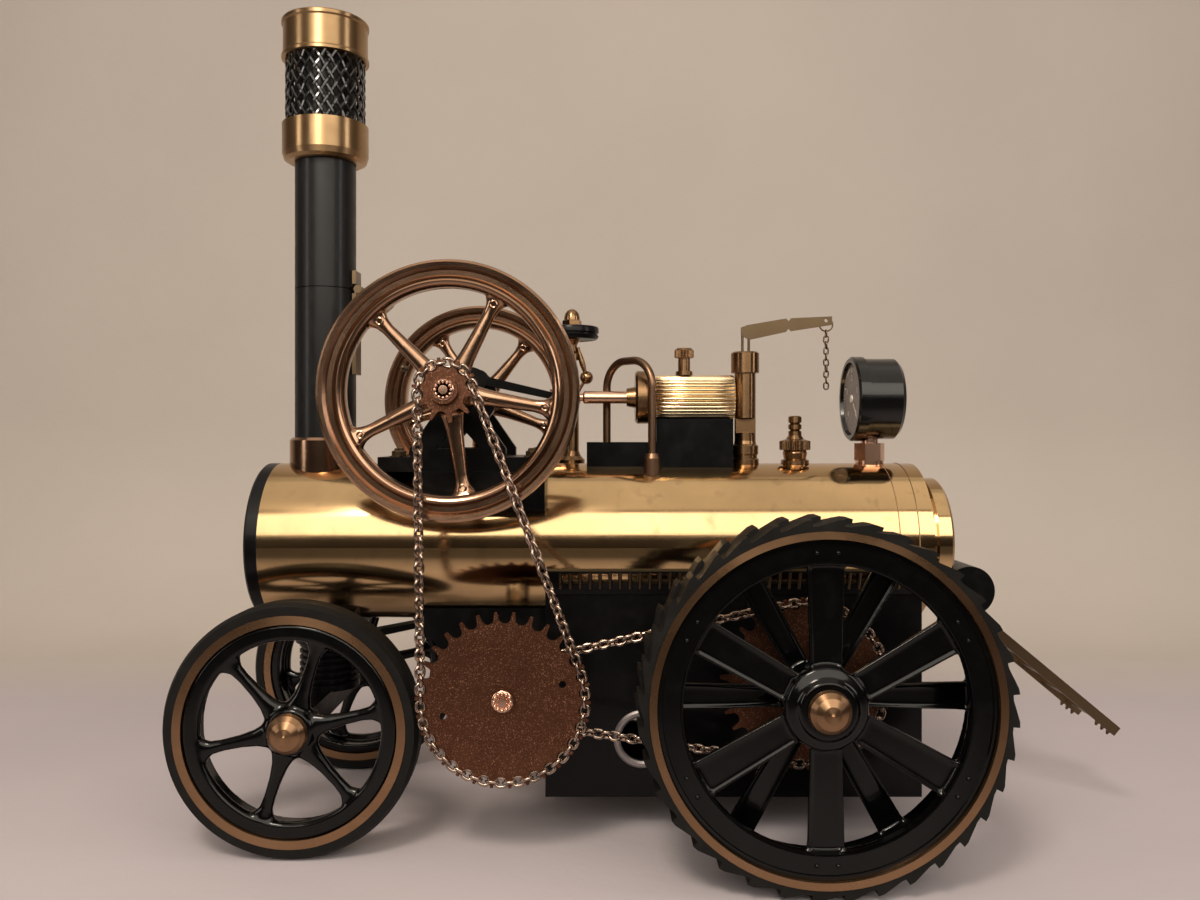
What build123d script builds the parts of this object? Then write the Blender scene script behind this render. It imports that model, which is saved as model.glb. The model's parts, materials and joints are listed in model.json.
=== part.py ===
"""Model steam traction engine: a live-steam locomobile on four spoked wheels.

Frame: +X points to the front of the vehicle, +Y to its left side, +Z up.  The origin lies on
the floor, in the middle of the length and the width.  Every length is in millimetres.
"""

import os
from math import asin, atan2, cos, degrees, hypot, pi, radians, sin

from build123d import *

os.makedirs("parts", exist_ok=True)

# ---------------------------------------------------------------- driving dimensions
seat = 0.05            # gap between curved faces that are pressed together
running_fit = 0.08     # radial gap of a shaft that turns in its bearing
side_play = 0.3        # gap between faces that turn past each other

# boiler
boiler_radius = 29.0
boiler_axis_z = 100.5
boiler_front_x = 143.1
boiler_rear_x = -90.3
front_ring_length = 4.8
rear_band_length = 4.5
rear_neck_length = 3.5
rear_neck_radius = 22.0
rear_cap_length = 5.6
rear_cap_radius = 23.4
sight_glass_radius = 7.5

# chimney
chimney_x = 126.5
chimney_radius = 11.25
chimney_wall = 1.2
chimney_foot_radius = 13.1
chimney_foot_top_z = 139.2
chimney_split_z = 195.0
chimney_top_z = 295.8
crown_height = 14.4
cage_height = 24.6
cup_height = 14.0
cup_radius = 15.9
cage_radius = 14.9
cage_strand = 1.1
cage_columns = 24
cage_rows = 4
crown_radius = 16.1
hinge_pin_radius = 1.0
hinge_gap = 1.2

# wheels
rear_axle_x = -45.7
lug_height = 2.0
lug_count = 36
rear_rim_radius = 51.4
rear_flange_depth = 8.0
rear_trim_thickness = 2.4
rear_tyre_thickness = 3.6
rear_tyre_width = 22.0
rear_tyre_inside_y = 58.0
rear_hub_radius = 9.2
rear_spoke_count = 6
front_axle_x = 124.9
front_rim_radius = 35.5
front_flange_depth = 5.8
front_trim_thickness = 2.9
front_tyre_thickness = 4.0
front_tyre_width = 12.0
front_tyre_inside_y = 39.0
front_hub_radius = 7.8
front_spoke_count = 6
front_spoke_turn = 13.0
cap_radius = 6.7
cap_height = 4.6
axle_radius = 3.0

# crankshaft
crank_x = 73.1
crank_z = 154.6
shaft_radius = 3.0
left_flywheel_radius = 43.7
right_flywheel_radius = 40.0
flywheel_rim = 9.2
flywheel_width = 9.0
flywheel_middle_y = 45.0
flywheel_spoke_count = 5
flywheel_hub_radius = 7.0
crank_disc_radius = 11.5
crank_disc_width = 4.0
crank_throw = 8.2
crank_angle = 128.5
pedestal_y = 22.0
pedestal_width = 4.0
bearing_radius = 6.5

# chain drive: two stages of a small and a large sprocket
tooth_pitch = 5.6
small_teeth = 10
large_teeth = 30
tooth_above = 1.76
tooth_tip = 0.9
tooth_gap_radius = 2.0
sprocket_width = 1.6
layshaft_x = 54.2
layshaft_z = 54.2
layshaft_radius = 2.5
first_chain_y = 55.0
second_chain_y = 46.0
chain_strip = 0.75
chain_strip_height = 1.9
centre_link_length = 2.4
centre_link_height = 2.9
centre_link_width = 1.2
tooth_play = 0.15

# firebox under the boiler
firebox_front_x = 42.0
firebox_rear_x = -91.3
firebox_half_width = 25.0
firebox_bottom_z = 12.0
firebox_wall = 1.6
vent_pitch = 3.5
vent_width = 2.2
vent_height = 3.6
flange_height = 6.5
flange_thickness = 1.4
port_x = 7.6
port_z = 32.7
port_radius = 7.8
port_ring_radius = 10.2
port_ring_height = 1.5

# frame between firebox and boiler, and the front carriage
side_plate_y = 18.0
side_plate_thickness = 2.0
carriage_joint_z = 62.4
post_radius = 11.0
rib_depth = 1.3
rib_pitch = 2.4
kingpin_radius = 2.5
axle_beam = 8.0

# engine bed on the boiler
bed_front_x = 101.4
bed_rear_x = 42.0
bed_half_width = 25.0
bed_bottom_z = 127.0
bed_top_z = 132.3
saddle_half_width = 29.8
saddle_bottom_z = 113.5

# cylinder
cylinder_z = 154.4
cylinder_front_x = 2.9
cylinder_rear_x = -27.9
jacket_radius = 8.4
flute_count = 24
flute_depth = 0.9
cover_radius = 10.0
cover_front_x = 9.3
guide_radius = 2.4
guide_front_x = 29.0
crosshead_x = 38.5
block_half_width = 8.6
block_top_z = 146.2
block_front_x = 1.7
block_rear_x = -26.8
foot_front_x = 27.5
foot_top_z = 137.5
oiler_x = -9.3
pipe_radius = 1.5
pipe_inlet_x = 19.9
pipe_outlet_x = 3.5
pipe_outlet_y = 12.4
pipe_rise = 13.6

# fittings on top of the boiler
governor_x = 33.5
governor_y = -13.0
governor_disc_radius = 10.5
governor_column_height = 25.5
governor_disc_height = 22.5
governor_disc_thickness = 5.0
governor_nut_height = 7.0
governor_spindle_radius = 1.2
ball_radius = 2.6
ball_offset = 5.7
ball_height = 7.5
whistle_x = -32.4
whistle_height = 42.1
lever_end_x = -65.3
lever_rise = 11.1
valve_x = -51.3
gauge_front_x = -71.8
gauge_rear_x = -89.4
gauge_radius = 16.0
gauge_rim_step = 0.8
gauge_stem_height = 9.1
gauge_stem_x = -79.5

# rear arm
arm_half_gap = 13.0
arm_barrel_z = 83.0
arm_barrel_radius = 9.0
arm_slope = 39.7
arm_rail_height = 3.6
arm_rail_width = 1.2
arm_end_x = -167.3
arm_rung_count = 5
first_rung = 22.0
last_rung_gap = 6.5

# ---------------------------------------------------------------- what follows from them
boiler_top_z = boiler_axis_z + boiler_radius
boiler_bottom_z = boiler_axis_z - boiler_radius
cage_top_z = chimney_top_z - crown_height
cage_bottom_z = cage_top_z - cage_height
cup_bottom_z = cage_bottom_z - cup_height
rear_flange_radius = rear_rim_radius - rear_flange_depth
rear_tyre_inner_radius = rear_rim_radius + rear_trim_thickness
rear_tip_radius = rear_tyre_inner_radius + rear_tyre_thickness
front_flange_radius = front_rim_radius - front_flange_depth
front_tyre_inner_radius = front_rim_radius + front_trim_thickness
front_tyre_radius = front_tyre_inner_radius + front_tyre_thickness
rear_axle_z = rear_tip_radius
front_axle_z = front_tyre_radius
governor_column_top_z = boiler_top_z + governor_column_height
governor_disc_bottom_z = governor_column_top_z + governor_disc_height
governor_disc_top_z = governor_disc_bottom_z + governor_disc_thickness
governor_top_z = governor_disc_top_z + governor_nut_height
ball_z = governor_column_top_z + ball_height
pipe_top_z = cylinder_z + pipe_rise
gauge_z = boiler_top_z + gauge_stem_height + gauge_radius - gauge_rim_step
rear_tyre_outside_y = rear_tyre_inside_y + rear_tyre_width
front_tyre_outside_y = front_tyre_inside_y + front_tyre_width
small_pitch_radius = tooth_pitch * small_teeth / (2 * pi)
large_pitch_radius = tooth_pitch * large_teeth / (2 * pi)
crank_pin_x = crank_x + crank_throw * cos(radians(crank_angle))
crank_pin_z = crank_z + crank_throw * sin(radians(crank_angle))
rear_band_x = boiler_rear_x - rear_band_length
rear_neck_x = rear_band_x - rear_neck_length
rear_cap_x = rear_neck_x - rear_cap_length
arm_barrel_x = rear_cap_x - arm_barrel_radius - seat


def save(piece, label):
    """Name a finished piece and write it."""
    piece.part.label = label
    export_step(piece.part, f"parts/{label}.step")


def turn_crosswise(x, z, profile):
    """Add a turned solid about the crosswise line through (x, z); profile holds (radius, y)."""
    with BuildSketch(Plane.XY.offset(z)) as profile_face:
        with BuildLine():
            Polyline(*[(x + radius, y) for radius, y in profile], close=True)
        make_face()
    revolve(profile_face.sketch, axis=Axis((x, 0, z), (0, 1, 0)))


def turn_lengthwise(z, profile):
    """Add a turned solid about the lengthwise line at height z; profile holds (x, radius)."""
    with BuildSketch(Plane.XY.offset(z)) as profile_face:
        with BuildLine():
            Polyline(*profile, close=True)
        make_face()
    revolve(profile_face.sketch, axis=Axis((0, 0, z), (1, 0, 0)))


def turn_upright(x, y, profile, mode=Mode.ADD):
    """Add a turned solid about the upright line through (x, y); profile holds (radius, z)."""
    with BuildSketch(Plane.XZ.offset(-y)) as profile_face:
        with BuildLine():
            Polyline(*[(x + radius, z) for radius, z in profile], close=True)
        make_face()
    revolve(profile_face.sketch, axis=Axis((x, y, 0), (0, 0, 1)), mode=mode)


def turn_fitting(x, y, profile):
    """Add a turned fitting; profile holds (radius, height above the top of the boiler)."""
    turn_upright(x, y, [(radius, boiler_top_z + height) for radius, height in profile])


def cut_boiler(clearance=seat):
    """Cut the round of the boiler out of the piece that sits on it."""
    with BuildSketch(Plane.YZ.offset(rear_cap_x)) as boiler_face:
        with Locations((0, boiler_axis_z)):
            Circle(boiler_radius + clearance)
    extrude(boiler_face.sketch, amount=boiler_front_x - rear_cap_x, mode=Mode.SUBTRACT)


def ring_points(x, z, steps):
    """Turn (radius, degrees) steps into points of the lengthwise upright plane."""
    return [(x + r * cos(radians(a)), z + r * sin(radians(a))) for r, a in steps]


def side_slab(points, y_low, y_high, mode=Mode.ADD):
    """Add an outline of the lengthwise upright plane as a slab from y_low to y_high."""
    with BuildSketch(Plane.XZ.offset(-y_low)) as slab_face:
        with BuildLine():
            Polyline(*points, close=True)
        make_face()
    extrude(slab_face.sketch, amount=y_low - y_high, mode=mode)


def side_round(x, z, radius, y_low, y_high, mode=Mode.ADD):
    """Add or cut a crosswise round bar from y_low to y_high."""
    with BuildSketch(Plane.XZ.offset(-y_low)) as slab_face:
        with Locations((x, z)):
            Circle(radius)
    extrude(slab_face.sketch, amount=y_low - y_high, mode=mode)


# ---------------------------------------------------------------- boiler
with BuildPart() as boiler_shell:
    turn_lengthwise(boiler_axis_z, [
        (boiler_front_x, 0), (boiler_front_x, boiler_radius),
        (boiler_rear_x, boiler_radius), (boiler_rear_x, 0)])
save(boiler_shell, "boiler_shell")

with BuildPart() as smokebox_front:
    ring_front_x = boiler_front_x + front_ring_length
    turn_lengthwise(boiler_axis_z, [
        (boiler_front_x, 0), (boiler_front_x, boiler_radius),
        (ring_front_x - 0.8, boiler_radius), (ring_front_x, boiler_radius - 0.8),
        (ring_front_x, boiler_radius - 3.4), (ring_front_x - 1.6, boiler_radius - 4.0),
        (ring_front_x - 1.6, 5.0), (ring_front_x - 0.6, 4.4), (ring_front_x - 0.6, 0)])
save(smokebox_front, "smokebox_front")

with BuildPart() as boiler_rear_cap:
    turn_lengthwise(boiler_axis_z, [
        (boiler_rear_x, 0), (boiler_rear_x, boiler_radius - 0.1), (rear_band_x, boiler_radius - 0.1),
        (rear_band_x, rear_neck_radius), (rear_neck_x, rear_neck_radius),
        (rear_neck_x, rear_cap_radius), (rear_cap_x + 1.0, rear_cap_radius),
        (rear_cap_x, rear_cap_radius - 1.0), (rear_cap_x, rear_cap_radius - 3.6),
        (rear_cap_x + 1.4, rear_cap_radius - 4.4), (rear_cap_x + 1.4, sight_glass_radius + 2.2),
        (rear_cap_x, sight_glass_radius + 1.8), (rear_cap_x, sight_glass_radius),
        (rear_cap_x + 1.2, sight_glass_radius), (rear_cap_x + 1.2, 0)])
save(boiler_rear_cap, "boiler_rear_cap")

# ---------------------------------------------------------------- firebox
firebox_middle_x = (firebox_front_x + firebox_rear_x) / 2
firebox_length = firebox_front_x - firebox_rear_x
firebox_top_z = boiler_axis_z - (boiler_radius ** 2 - firebox_half_width ** 2) ** 0.5
flange_top_z = firebox_top_z + flange_height
vent_z = flange_top_z - 0.8 - vent_height / 2
vent_count = int((firebox_length - 8) / vent_pitch)

with BuildPart() as firebox:
    with BuildSketch(Plane.XY.offset(firebox_bottom_z)):
        with Locations((firebox_middle_x, 0)):
            Rectangle(firebox_length, 2 * firebox_half_width)
    extrude(amount=firebox_top_z - firebox_bottom_z)
    with BuildSketch(Plane.XY.offset(firebox_bottom_z + firebox_wall)):
        with Locations((firebox_middle_x, 0)):
            Rectangle(firebox_length - 2 * firebox_wall, 2 * (firebox_half_width - firebox_wall))
    extrude(amount=firebox_top_z - firebox_bottom_z, mode=Mode.SUBTRACT)
    with BuildSketch(Plane.YZ.offset(firebox_rear_x)):
        with Locations((0, boiler_axis_z)):
            Circle(boiler_radius + seat + flange_thickness)
        with Locations((0, flange_top_z - flange_height / 2 - 1)):
            Rectangle(3 * boiler_radius, flange_height + 2, mode=Mode.INTERSECT)
    extrude(amount=firebox_length)
    cut_boiler()
    with BuildSketch(Plane.XZ.offset(-boiler_radius - 5)):
        with Locations((firebox_middle_x, vent_z)):
            with GridLocations(vent_pitch, 1, vent_count, 1):
                Rectangle(vent_width, vent_height)
        with Locations((port_x, port_z)):
            Circle(port_radius)
        with Locations((rear_axle_x, rear_axle_z)):
            Circle(axle_radius + running_fit)
    extrude(amount=2 * boiler_radius + 10, mode=Mode.SUBTRACT)
save(firebox, "firebox")

with BuildPart() as port_rings:
    for side in (1, -1):
        face_y = side * firebox_half_width
        turn_crosswise(port_x, port_z, [
            (port_radius, face_y), (port_ring_radius, face_y),
            (port_ring_radius, face_y + side * port_ring_height * 0.6),
            (port_ring_radius - 0.7, face_y + side * port_ring_height),
            (port_radius + 0.7, face_y + side * port_ring_height),
            (port_radius, face_y + side * port_ring_height * 0.6)])
save(port_rings, "port_rings")

# ---------------------------------------------------------------- layshaft frame and front saddle
plate_top_z = boiler_axis_z - (boiler_radius ** 2 - side_plate_y ** 2) ** 0.5
plate_front_x = layshaft_x + 32

with BuildPart() as layshaft_frame:
    for side in (1, -1):
        y_low = side * side_plate_y - side_plate_thickness / 2
        side_slab([
            (firebox_front_x, layshaft_z - 15), (layshaft_x - 3, layshaft_z - 15),
            (layshaft_x + 12, layshaft_z - 7), (plate_front_x, plate_top_z - 8),
            (plate_front_x, plate_top_z), (firebox_front_x, plate_top_z)],
            y_low, y_low + side_plate_thickness)
    cross_bar_z = plate_top_z - 7
    cross_half = side_plate_y - side_plate_thickness / 2
    side_slab([
        (plate_front_x - 5, cross_bar_z), (plate_front_x, cross_bar_z),
        (plate_front_x, cross_bar_z - 2), (plate_front_x - 5, cross_bar_z - 2)], -cross_half, cross_half)
    cut_boiler()
    side_round(layshaft_x, layshaft_z, layshaft_radius + running_fit, -side_plate_y - 3,
               side_plate_y + 3, Mode.SUBTRACT)
save(layshaft_frame, "layshaft_frame")

with BuildPart() as front_saddle:
    turn_upright(front_axle_x, 0, [
        (0, carriage_joint_z + side_play), (post_radius + 1.5, carriage_joint_z + side_play),
        (post_radius + 1.5, carriage_joint_z + 2.6), (post_radius - 1, carriage_joint_z + 4),
        (post_radius - 1, boiler_bottom_z + 3), (0, boiler_bottom_z + 3)])
    with BuildSketch(Plane.XY.offset(boiler_bottom_z - 3)):
        with Locations((front_axle_x, 0)):
            Rectangle(26, 30)
    extrude(amount=8)
    strut_front_x = front_axle_x - post_radius
    side_slab([
        (strut_front_x, carriage_joint_z + 0.4), (strut_front_x, carriage_joint_z + 3.2),
        (plate_front_x + seat, cross_bar_z), (plate_front_x + seat, cross_bar_z - 2)], -4, 4)
    cut_boiler()
    turn_upright(front_axle_x, 0, [
        (0, 0), (kingpin_radius + running_fit, 0),
        (kingpin_radius + running_fit, boiler_bottom_z - 1), (0, boiler_bottom_z - 1)], Mode.SUBTRACT)
save(front_saddle, "front_saddle")

# ---------------------------------------------------------------- front carriage and wheels
with BuildPart() as front_carriage:
    post_bottom_z = front_axle_z + axle_beam / 2
    rib_count = int((carriage_joint_z - post_bottom_z) / rib_pitch)
    post_profile = [(0, post_bottom_z - 1), (post_radius, post_bottom_z - 1)]
    for rib in range(rib_count):
        rib_z = post_bottom_z + (rib + 0.5) * rib_pitch
        post_profile += [
            (post_radius, rib_z), (post_radius - rib_depth, rib_z + 0.4),
            (post_radius - rib_depth, rib_z + rib_pitch / 2), (post_radius, rib_z + rib_pitch / 2 + 0.4)]
    post_profile += [(post_radius, carriage_joint_z), (0, carriage_joint_z)]
    turn_upright(front_axle_x, 0, post_profile)
    turn_upright(front_axle_x, 0, [
        (0, carriage_joint_z - 1), (kingpin_radius, carriage_joint_z - 1),
        (kingpin_radius, boiler_bottom_z - 2), (0, boiler_bottom_z - 2)])
    beam_half = front_tyre_inside_y - 3
    side_slab([
        (front_axle_x - axle_beam / 2, front_axle_z - axle_beam / 2),
        (front_axle_x + axle_beam / 2, front_axle_z - axle_beam / 2),
        (front_axle_x + axle_beam / 2, front_axle_z + axle_beam / 2),
        (front_axle_x - axle_beam / 2, front_axle_z + axle_beam / 2)], -beam_half, beam_half)
    side_round(front_axle_x, front_axle_z, axle_radius,
               -front_tyre_outside_y - 1, front_tyre_outside_y + 1)
save(front_carriage, "front_carriage")


def spoke_points(x, z, angle, inner, outer, root_width, tip_width):
    """Corners of a tapered spoke that leaves (x, z) at an angle."""
    across_x = -sin(radians(angle))
    across_z = cos(radians(angle))
    along_x = cos(radians(angle))
    along_z = sin(radians(angle))
    return [
        (x + along_x * r + across_x * w, z + along_z * r + across_z * w)
        for r, w in ((inner, root_width / 2), (outer, tip_width / 2),
                     (outer, -tip_width / 2), (inner, -root_width / 2))]


def round_spoke(x, y, z, angle, inner, outer, root, tip):
    """Add a tapered spoke with round edges; root and tip are (width, thickness)."""
    outward = (cos(radians(angle)), 0, sin(radians(angle)))
    across = (-sin(radians(angle)), 0, cos(radians(angle)))
    sections = []
    for reach, (width, thickness) in ((inner, root), (outer, tip)):
        with BuildSketch(Plane((x + reach * outward[0], y, z + reach * outward[2]),
                               x_dir=across, z_dir=outward)) as section:
            SlotOverall(width, thickness)
        sections.append(section.sketch)
    loft(sections)


for name, side in (("left", 1), ("right", -1)):
    inside_y = side * front_tyre_inside_y
    outside_y = side * front_tyre_outside_y
    hub_outside_y = side * (front_tyre_outside_y + 0.6)
    with BuildPart() as front_wheel:
        turn_crosswise(front_axle_x, front_axle_z, [
            (front_flange_radius + 2.2, inside_y + side * 0.8), (front_rim_radius - seat, inside_y + side * 0.8),
            (front_rim_radius - seat, outside_y), (front_flange_radius + 0.8, outside_y),
            (front_flange_radius, outside_y - side * 0.8), (front_flange_radius, outside_y - side * 3.4),
            (front_flange_radius + 2.2, outside_y - side * 4.2)])
        turn_crosswise(front_axle_x, front_axle_z, [
            (axle_radius + running_fit, inside_y), (front_hub_radius, inside_y),
            (front_hub_radius, outside_y - side * 0.4), (front_hub_radius - 1, hub_outside_y),
            (axle_radius + running_fit, hub_outside_y)])
        for spoke in range(front_spoke_count):
            angle = front_spoke_turn + 360 / front_spoke_count * spoke
            round_spoke(front_axle_x, outside_y - side * 2.9, front_axle_z, angle, front_hub_radius - 2,
                        front_flange_radius + 1, (7.4, 4.0), (4.8, 3.0))
    save(front_wheel, f"front_wheel_{name}")

    with BuildPart() as front_trim:
        turn_crosswise(front_axle_x, front_axle_z, [
            (front_rim_radius, inside_y + side * 0.4), (front_tyre_inner_radius - seat, inside_y + side * 0.4),
            (front_tyre_inner_radius - seat, outside_y + side * 0.3), (front_rim_radius, outside_y + side * 0.3)])
        cap_y = outside_y + side * 1.2
        turn_crosswise(front_axle_x, front_axle_z, [
            (0, cap_y), (cap_radius, cap_y), (cap_radius * 0.93, cap_y + side * cap_height * 0.37),
            (cap_radius * 0.72, cap_y + side * cap_height * 0.7),
            (cap_radius * 0.4, cap_y + side * cap_height * 0.93), (0, cap_y + side * cap_height)])
    save(front_trim, f"front_trim_{name}")

    with BuildPart() as front_tyre:
        turn_crosswise(front_axle_x, front_axle_z, [
            (front_tyre_inner_radius, inside_y), (front_tyre_radius - 1.2, inside_y),
            (front_tyre_radius, inside_y + side * 2.4), (front_tyre_radius, outside_y - side * 2.4),
            (front_tyre_radius - 1.2, outside_y), (front_tyre_inner_radius, outside_y)])
    save(front_tyre, f"front_tyre_{name}")

# ---------------------------------------------------------------- rear axle and wheels
with BuildPart() as rear_axle:
    side_round(rear_axle_x, rear_axle_z, axle_radius, -rear_tyre_outside_y - 1, rear_tyre_outside_y + 1)
    for side in (1, -1):
        collar_low, collar_high = sorted((side * (firebox_half_width + side_play),
                                          side * (firebox_half_width + side_play + 4)))
        side_round(rear_axle_x, rear_axle_z, axle_radius + 2.4, collar_low, collar_high)
save(rear_axle, "rear_axle")


def lug_outline(turn):
    """Saw-tooth outline of one lug row; each lug rises slowly and drops at its end."""
    step = 360 / lug_count
    base = rear_tip_radius - lug_height
    steps = []
    for lug in range(lug_count):
        start = turn - 90 + lug * step
        steps += [(base, start + 0.18 * step), (rear_tip_radius - 0.15, start + 0.82 * step),
                  (rear_tip_radius, start + step), (base, start + step + 0.02)]
    return ring_points(rear_axle_x, rear_axle_z, steps)


for name, side in (("left", 1), ("right", -1)):
    inside_y = side * rear_tyre_inside_y
    middle_y = side * (rear_tyre_inside_y + rear_tyre_width / 2)
    outside_y = side * rear_tyre_outside_y
    hub_outside_y = side * (rear_tyre_outside_y + 0.6)
    with BuildPart() as rear_wheel:
        turn_crosswise(rear_axle_x, rear_axle_z, [
            (rear_rim_radius - 2, inside_y + side), (rear_rim_radius - seat, inside_y + side),
            (rear_rim_radius - seat, outside_y - side), (rear_flange_radius, outside_y - side),
            (rear_flange_radius, outside_y - side * 3.6), (rear_rim_radius - 2, outside_y - side * 3.6)])
        turn_crosswise(rear_axle_x, rear_axle_z, [
            (axle_radius + seat, inside_y), (rear_hub_radius + 2, inside_y),
            (rear_hub_radius + 2, inside_y + side * 5), (rear_hub_radius, inside_y + side * 7),
            (rear_hub_radius, outside_y - side * 0.4), (rear_hub_radius - 1, hub_outside_y),
            (axle_radius + seat, hub_outside_y)])
        for row, turn, reach, width in (
                (outside_y - side * 3.5, 30, rear_flange_radius + 1, 11.0),
                (inside_y + side * 2, 0, rear_rim_radius - 1.5, 8.0)):
            for spoke in range(rear_spoke_count):
                angle = turn + 360 / rear_spoke_count * spoke
                row_low, row_high = sorted((row, row + side * 2.4))
                side_slab(spoke_points(rear_axle_x, rear_axle_z, angle, rear_hub_radius - 1.5,
                                       reach, width * 0.78, width), row_low, row_high)
    save(rear_wheel, f"rear_wheel_{name}")

    with BuildPart() as rear_tyre:
        for turn, edges in ((0, (inside_y, middle_y)), (180 / lug_count, (middle_y, outside_y))):
            row_low, row_high = sorted(edges)
            side_slab(lug_outline(turn), row_low, row_high)
        side_round(rear_axle_x, rear_axle_z, rear_tyre_inner_radius,
                   -rear_tyre_outside_y - 1, rear_tyre_outside_y + 1, Mode.SUBTRACT)
    save(rear_tyre, f"rear_tyre_{name}")

with BuildPart() as rear_trim:
    for side in (1, -1):
        inside_y = side * rear_tyre_inside_y
        outside_y = side * rear_tyre_outside_y
        turn_crosswise(rear_axle_x, rear_axle_z, [
            (rear_rim_radius, inside_y + side * 0.4), (rear_tyre_inner_radius - seat, inside_y + side * 0.4),
            (rear_tyre_inner_radius - seat, outside_y + side * 0.3), (rear_rim_radius, outside_y + side * 0.3)])
        cap_y = outside_y + side * 1.2
        turn_crosswise(rear_axle_x, rear_axle_z, [
            (0, cap_y), (cap_radius, cap_y), (cap_radius * 0.93, cap_y + side * cap_height * 0.37),
            (cap_radius * 0.72, cap_y + side * cap_height * 0.7),
            (cap_radius * 0.4, cap_y + side * cap_height * 0.93), (0, cap_y + side * cap_height)])
save(rear_trim, "rear_trim")


# ---------------------------------------------------------------- chain drive
def side_sprocket(x, z, teeth, pitch_radius, turn, y_low, y_high):
    """Add a toothed plate about (x, z), with one tooth at the angle turn and round gaps for the links."""
    step = 360 / teeth
    tip = pitch_radius + tooth_above
    half_tip = degrees(tooth_tip / 2 / tip)
    flank = step / 2 - 2 * degrees(asin(tooth_gap_radius / 2 / pitch_radius))
    with BuildSketch(Plane.XZ.offset(-y_low)) as plate_face:
        with BuildLine():
            for tooth in range(teeth):
                angle = turn + tooth * step
                start, near, far, end, bottom, after = ring_points(x, z, [
                    (pitch_radius, angle - flank), (tip, angle - half_tip), (tip, angle + half_tip),
                    (pitch_radius, angle + flank), (pitch_radius - tooth_gap_radius, angle + step / 2),
                    (pitch_radius, angle + step - flank)])
                Polyline(start, near, far, end)
                ThreePointArc(end, bottom, after)
        make_face()
    extrude(plate_face.sketch, amount=y_low - y_high)


class ChainLoop:
    """Closed path around a small and a large sprocket, measured along its pitch line."""

    def __init__(self, small_x, small_z, large_x, large_z):
        self.centres = ((small_x, small_z, small_pitch_radius), (large_x, large_z, large_pitch_radius))
        self.heading = degrees(atan2(large_z - small_z, large_x - small_x))
        self.distance = hypot(large_x - small_x, large_z - small_z)
        self.lean = degrees(asin((large_pitch_radius - small_pitch_radius) / self.distance))
        self.strand = (self.distance ** 2 - (large_pitch_radius - small_pitch_radius) ** 2) ** 0.5
        self.small_arc = small_pitch_radius * radians(180 - 2 * self.lean)
        self.large_arc = large_pitch_radius * radians(180 + 2 * self.lean)
        self.length = 2 * self.strand + self.small_arc + self.large_arc
        self.links = round(self.length / tooth_pitch)

    def place(self, distance):
        """Point and heading at a distance from the middle of the large sprocket's arc."""
        (sx, sz, small), (lx, lz, large) = self.centres
        left = (distance + self.large_arc / 2) % self.length
        if left < self.large_arc:
            angle = self.heading - 90 - self.lean + degrees(left / large)
            return lx + large * cos(radians(angle)), lz + large * sin(radians(angle)), angle + 90
        left -= self.large_arc
        angle = self.heading + 90 + self.lean
        if left < self.strand:
            part = left / self.strand
            return (lx + (sx - lx) * part + (large + (small - large) * part) * cos(radians(angle)),
                    lz + (sz - lz) * part + (large + (small - large) * part) * sin(radians(angle)),
                    angle + 90)
        left -= self.strand
        if left < self.small_arc:
            angle += degrees(left / small)
            return sx + small * cos(radians(angle)), sz + small * sin(radians(angle)), angle + 90
        left -= self.small_arc
        angle = self.heading - 90 - self.lean
        part = left / self.strand
        return (sx + (lx - sx) * part + (small + (large - small) * part) * cos(radians(angle)),
                sz + (lz - sz) * part + (small + (large - small) * part) * sin(radians(angle)),
                angle + 90)


first_loop = ChainLoop(crank_x, crank_z, layshaft_x, layshaft_z)
second_loop = ChainLoop(layshaft_x, layshaft_z, rear_axle_x, rear_axle_z)


def chain(loop, middle_y, label):
    """Write one chain: side strips as a belt round both sprockets, with a centre link per tooth."""
    with BuildPart() as links:
        for y_low in (middle_y - sprocket_width / 2 - tooth_play - chain_strip,
                      middle_y + sprocket_width / 2 + tooth_play):
            with BuildSketch(Plane.XZ.offset(-y_low)):
                for x, z, radius in loop.centres:
                    with Locations((x, z)):
                        Circle(radius + chain_strip_height / 2)
                make_hull()
            extrude(amount=-chain_strip)
            with BuildSketch(Plane.XZ.offset(-y_low)):
                for x, z, radius in loop.centres:
                    with Locations((x, z)):
                        Circle(radius - chain_strip_height / 2)
                make_hull()
            extrude(amount=-chain_strip, mode=Mode.SUBTRACT)
        places = []
        for link in range(loop.links):
            x, z, heading = loop.place(link * loop.length / loop.links)
            direction = (cos(radians(heading)), 0, sin(radians(heading)))
            places.append(Plane((x, middle_y, z), x_dir=direction, z_dir=(0, 1, 0)).location)
        with Locations(*places):
            Box(centre_link_length, centre_link_height, centre_link_width)
    save(links, label)


chain(first_loop, first_chain_y, "drive_chain_first")
chain(second_loop, second_chain_y, "drive_chain_second")


def teeth_turn(loop, small):
    """Angle of a tooth, so that the centre links lie in the gaps of the sprocket."""
    if not small:
        return loop.heading + 180 / large_teeth
    if loop.links % 2:
        return loop.heading + 180
    return loop.heading + 180 + 180 / small_teeth


with BuildPart() as layshaft:
    side_round(layshaft_x, layshaft_z, layshaft_radius, -side_plate_y - 5, first_chain_y + 1.6)
    collar_y = side_plate_y + side_plate_thickness / 2 + side_play
    side_round(layshaft_x, layshaft_z, layshaft_radius + 2, collar_y, second_chain_y - 2.2)
    side_round(layshaft_x, layshaft_z, layshaft_radius + 2, -collar_y - 3, -collar_y)
save(layshaft, "layshaft")

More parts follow.
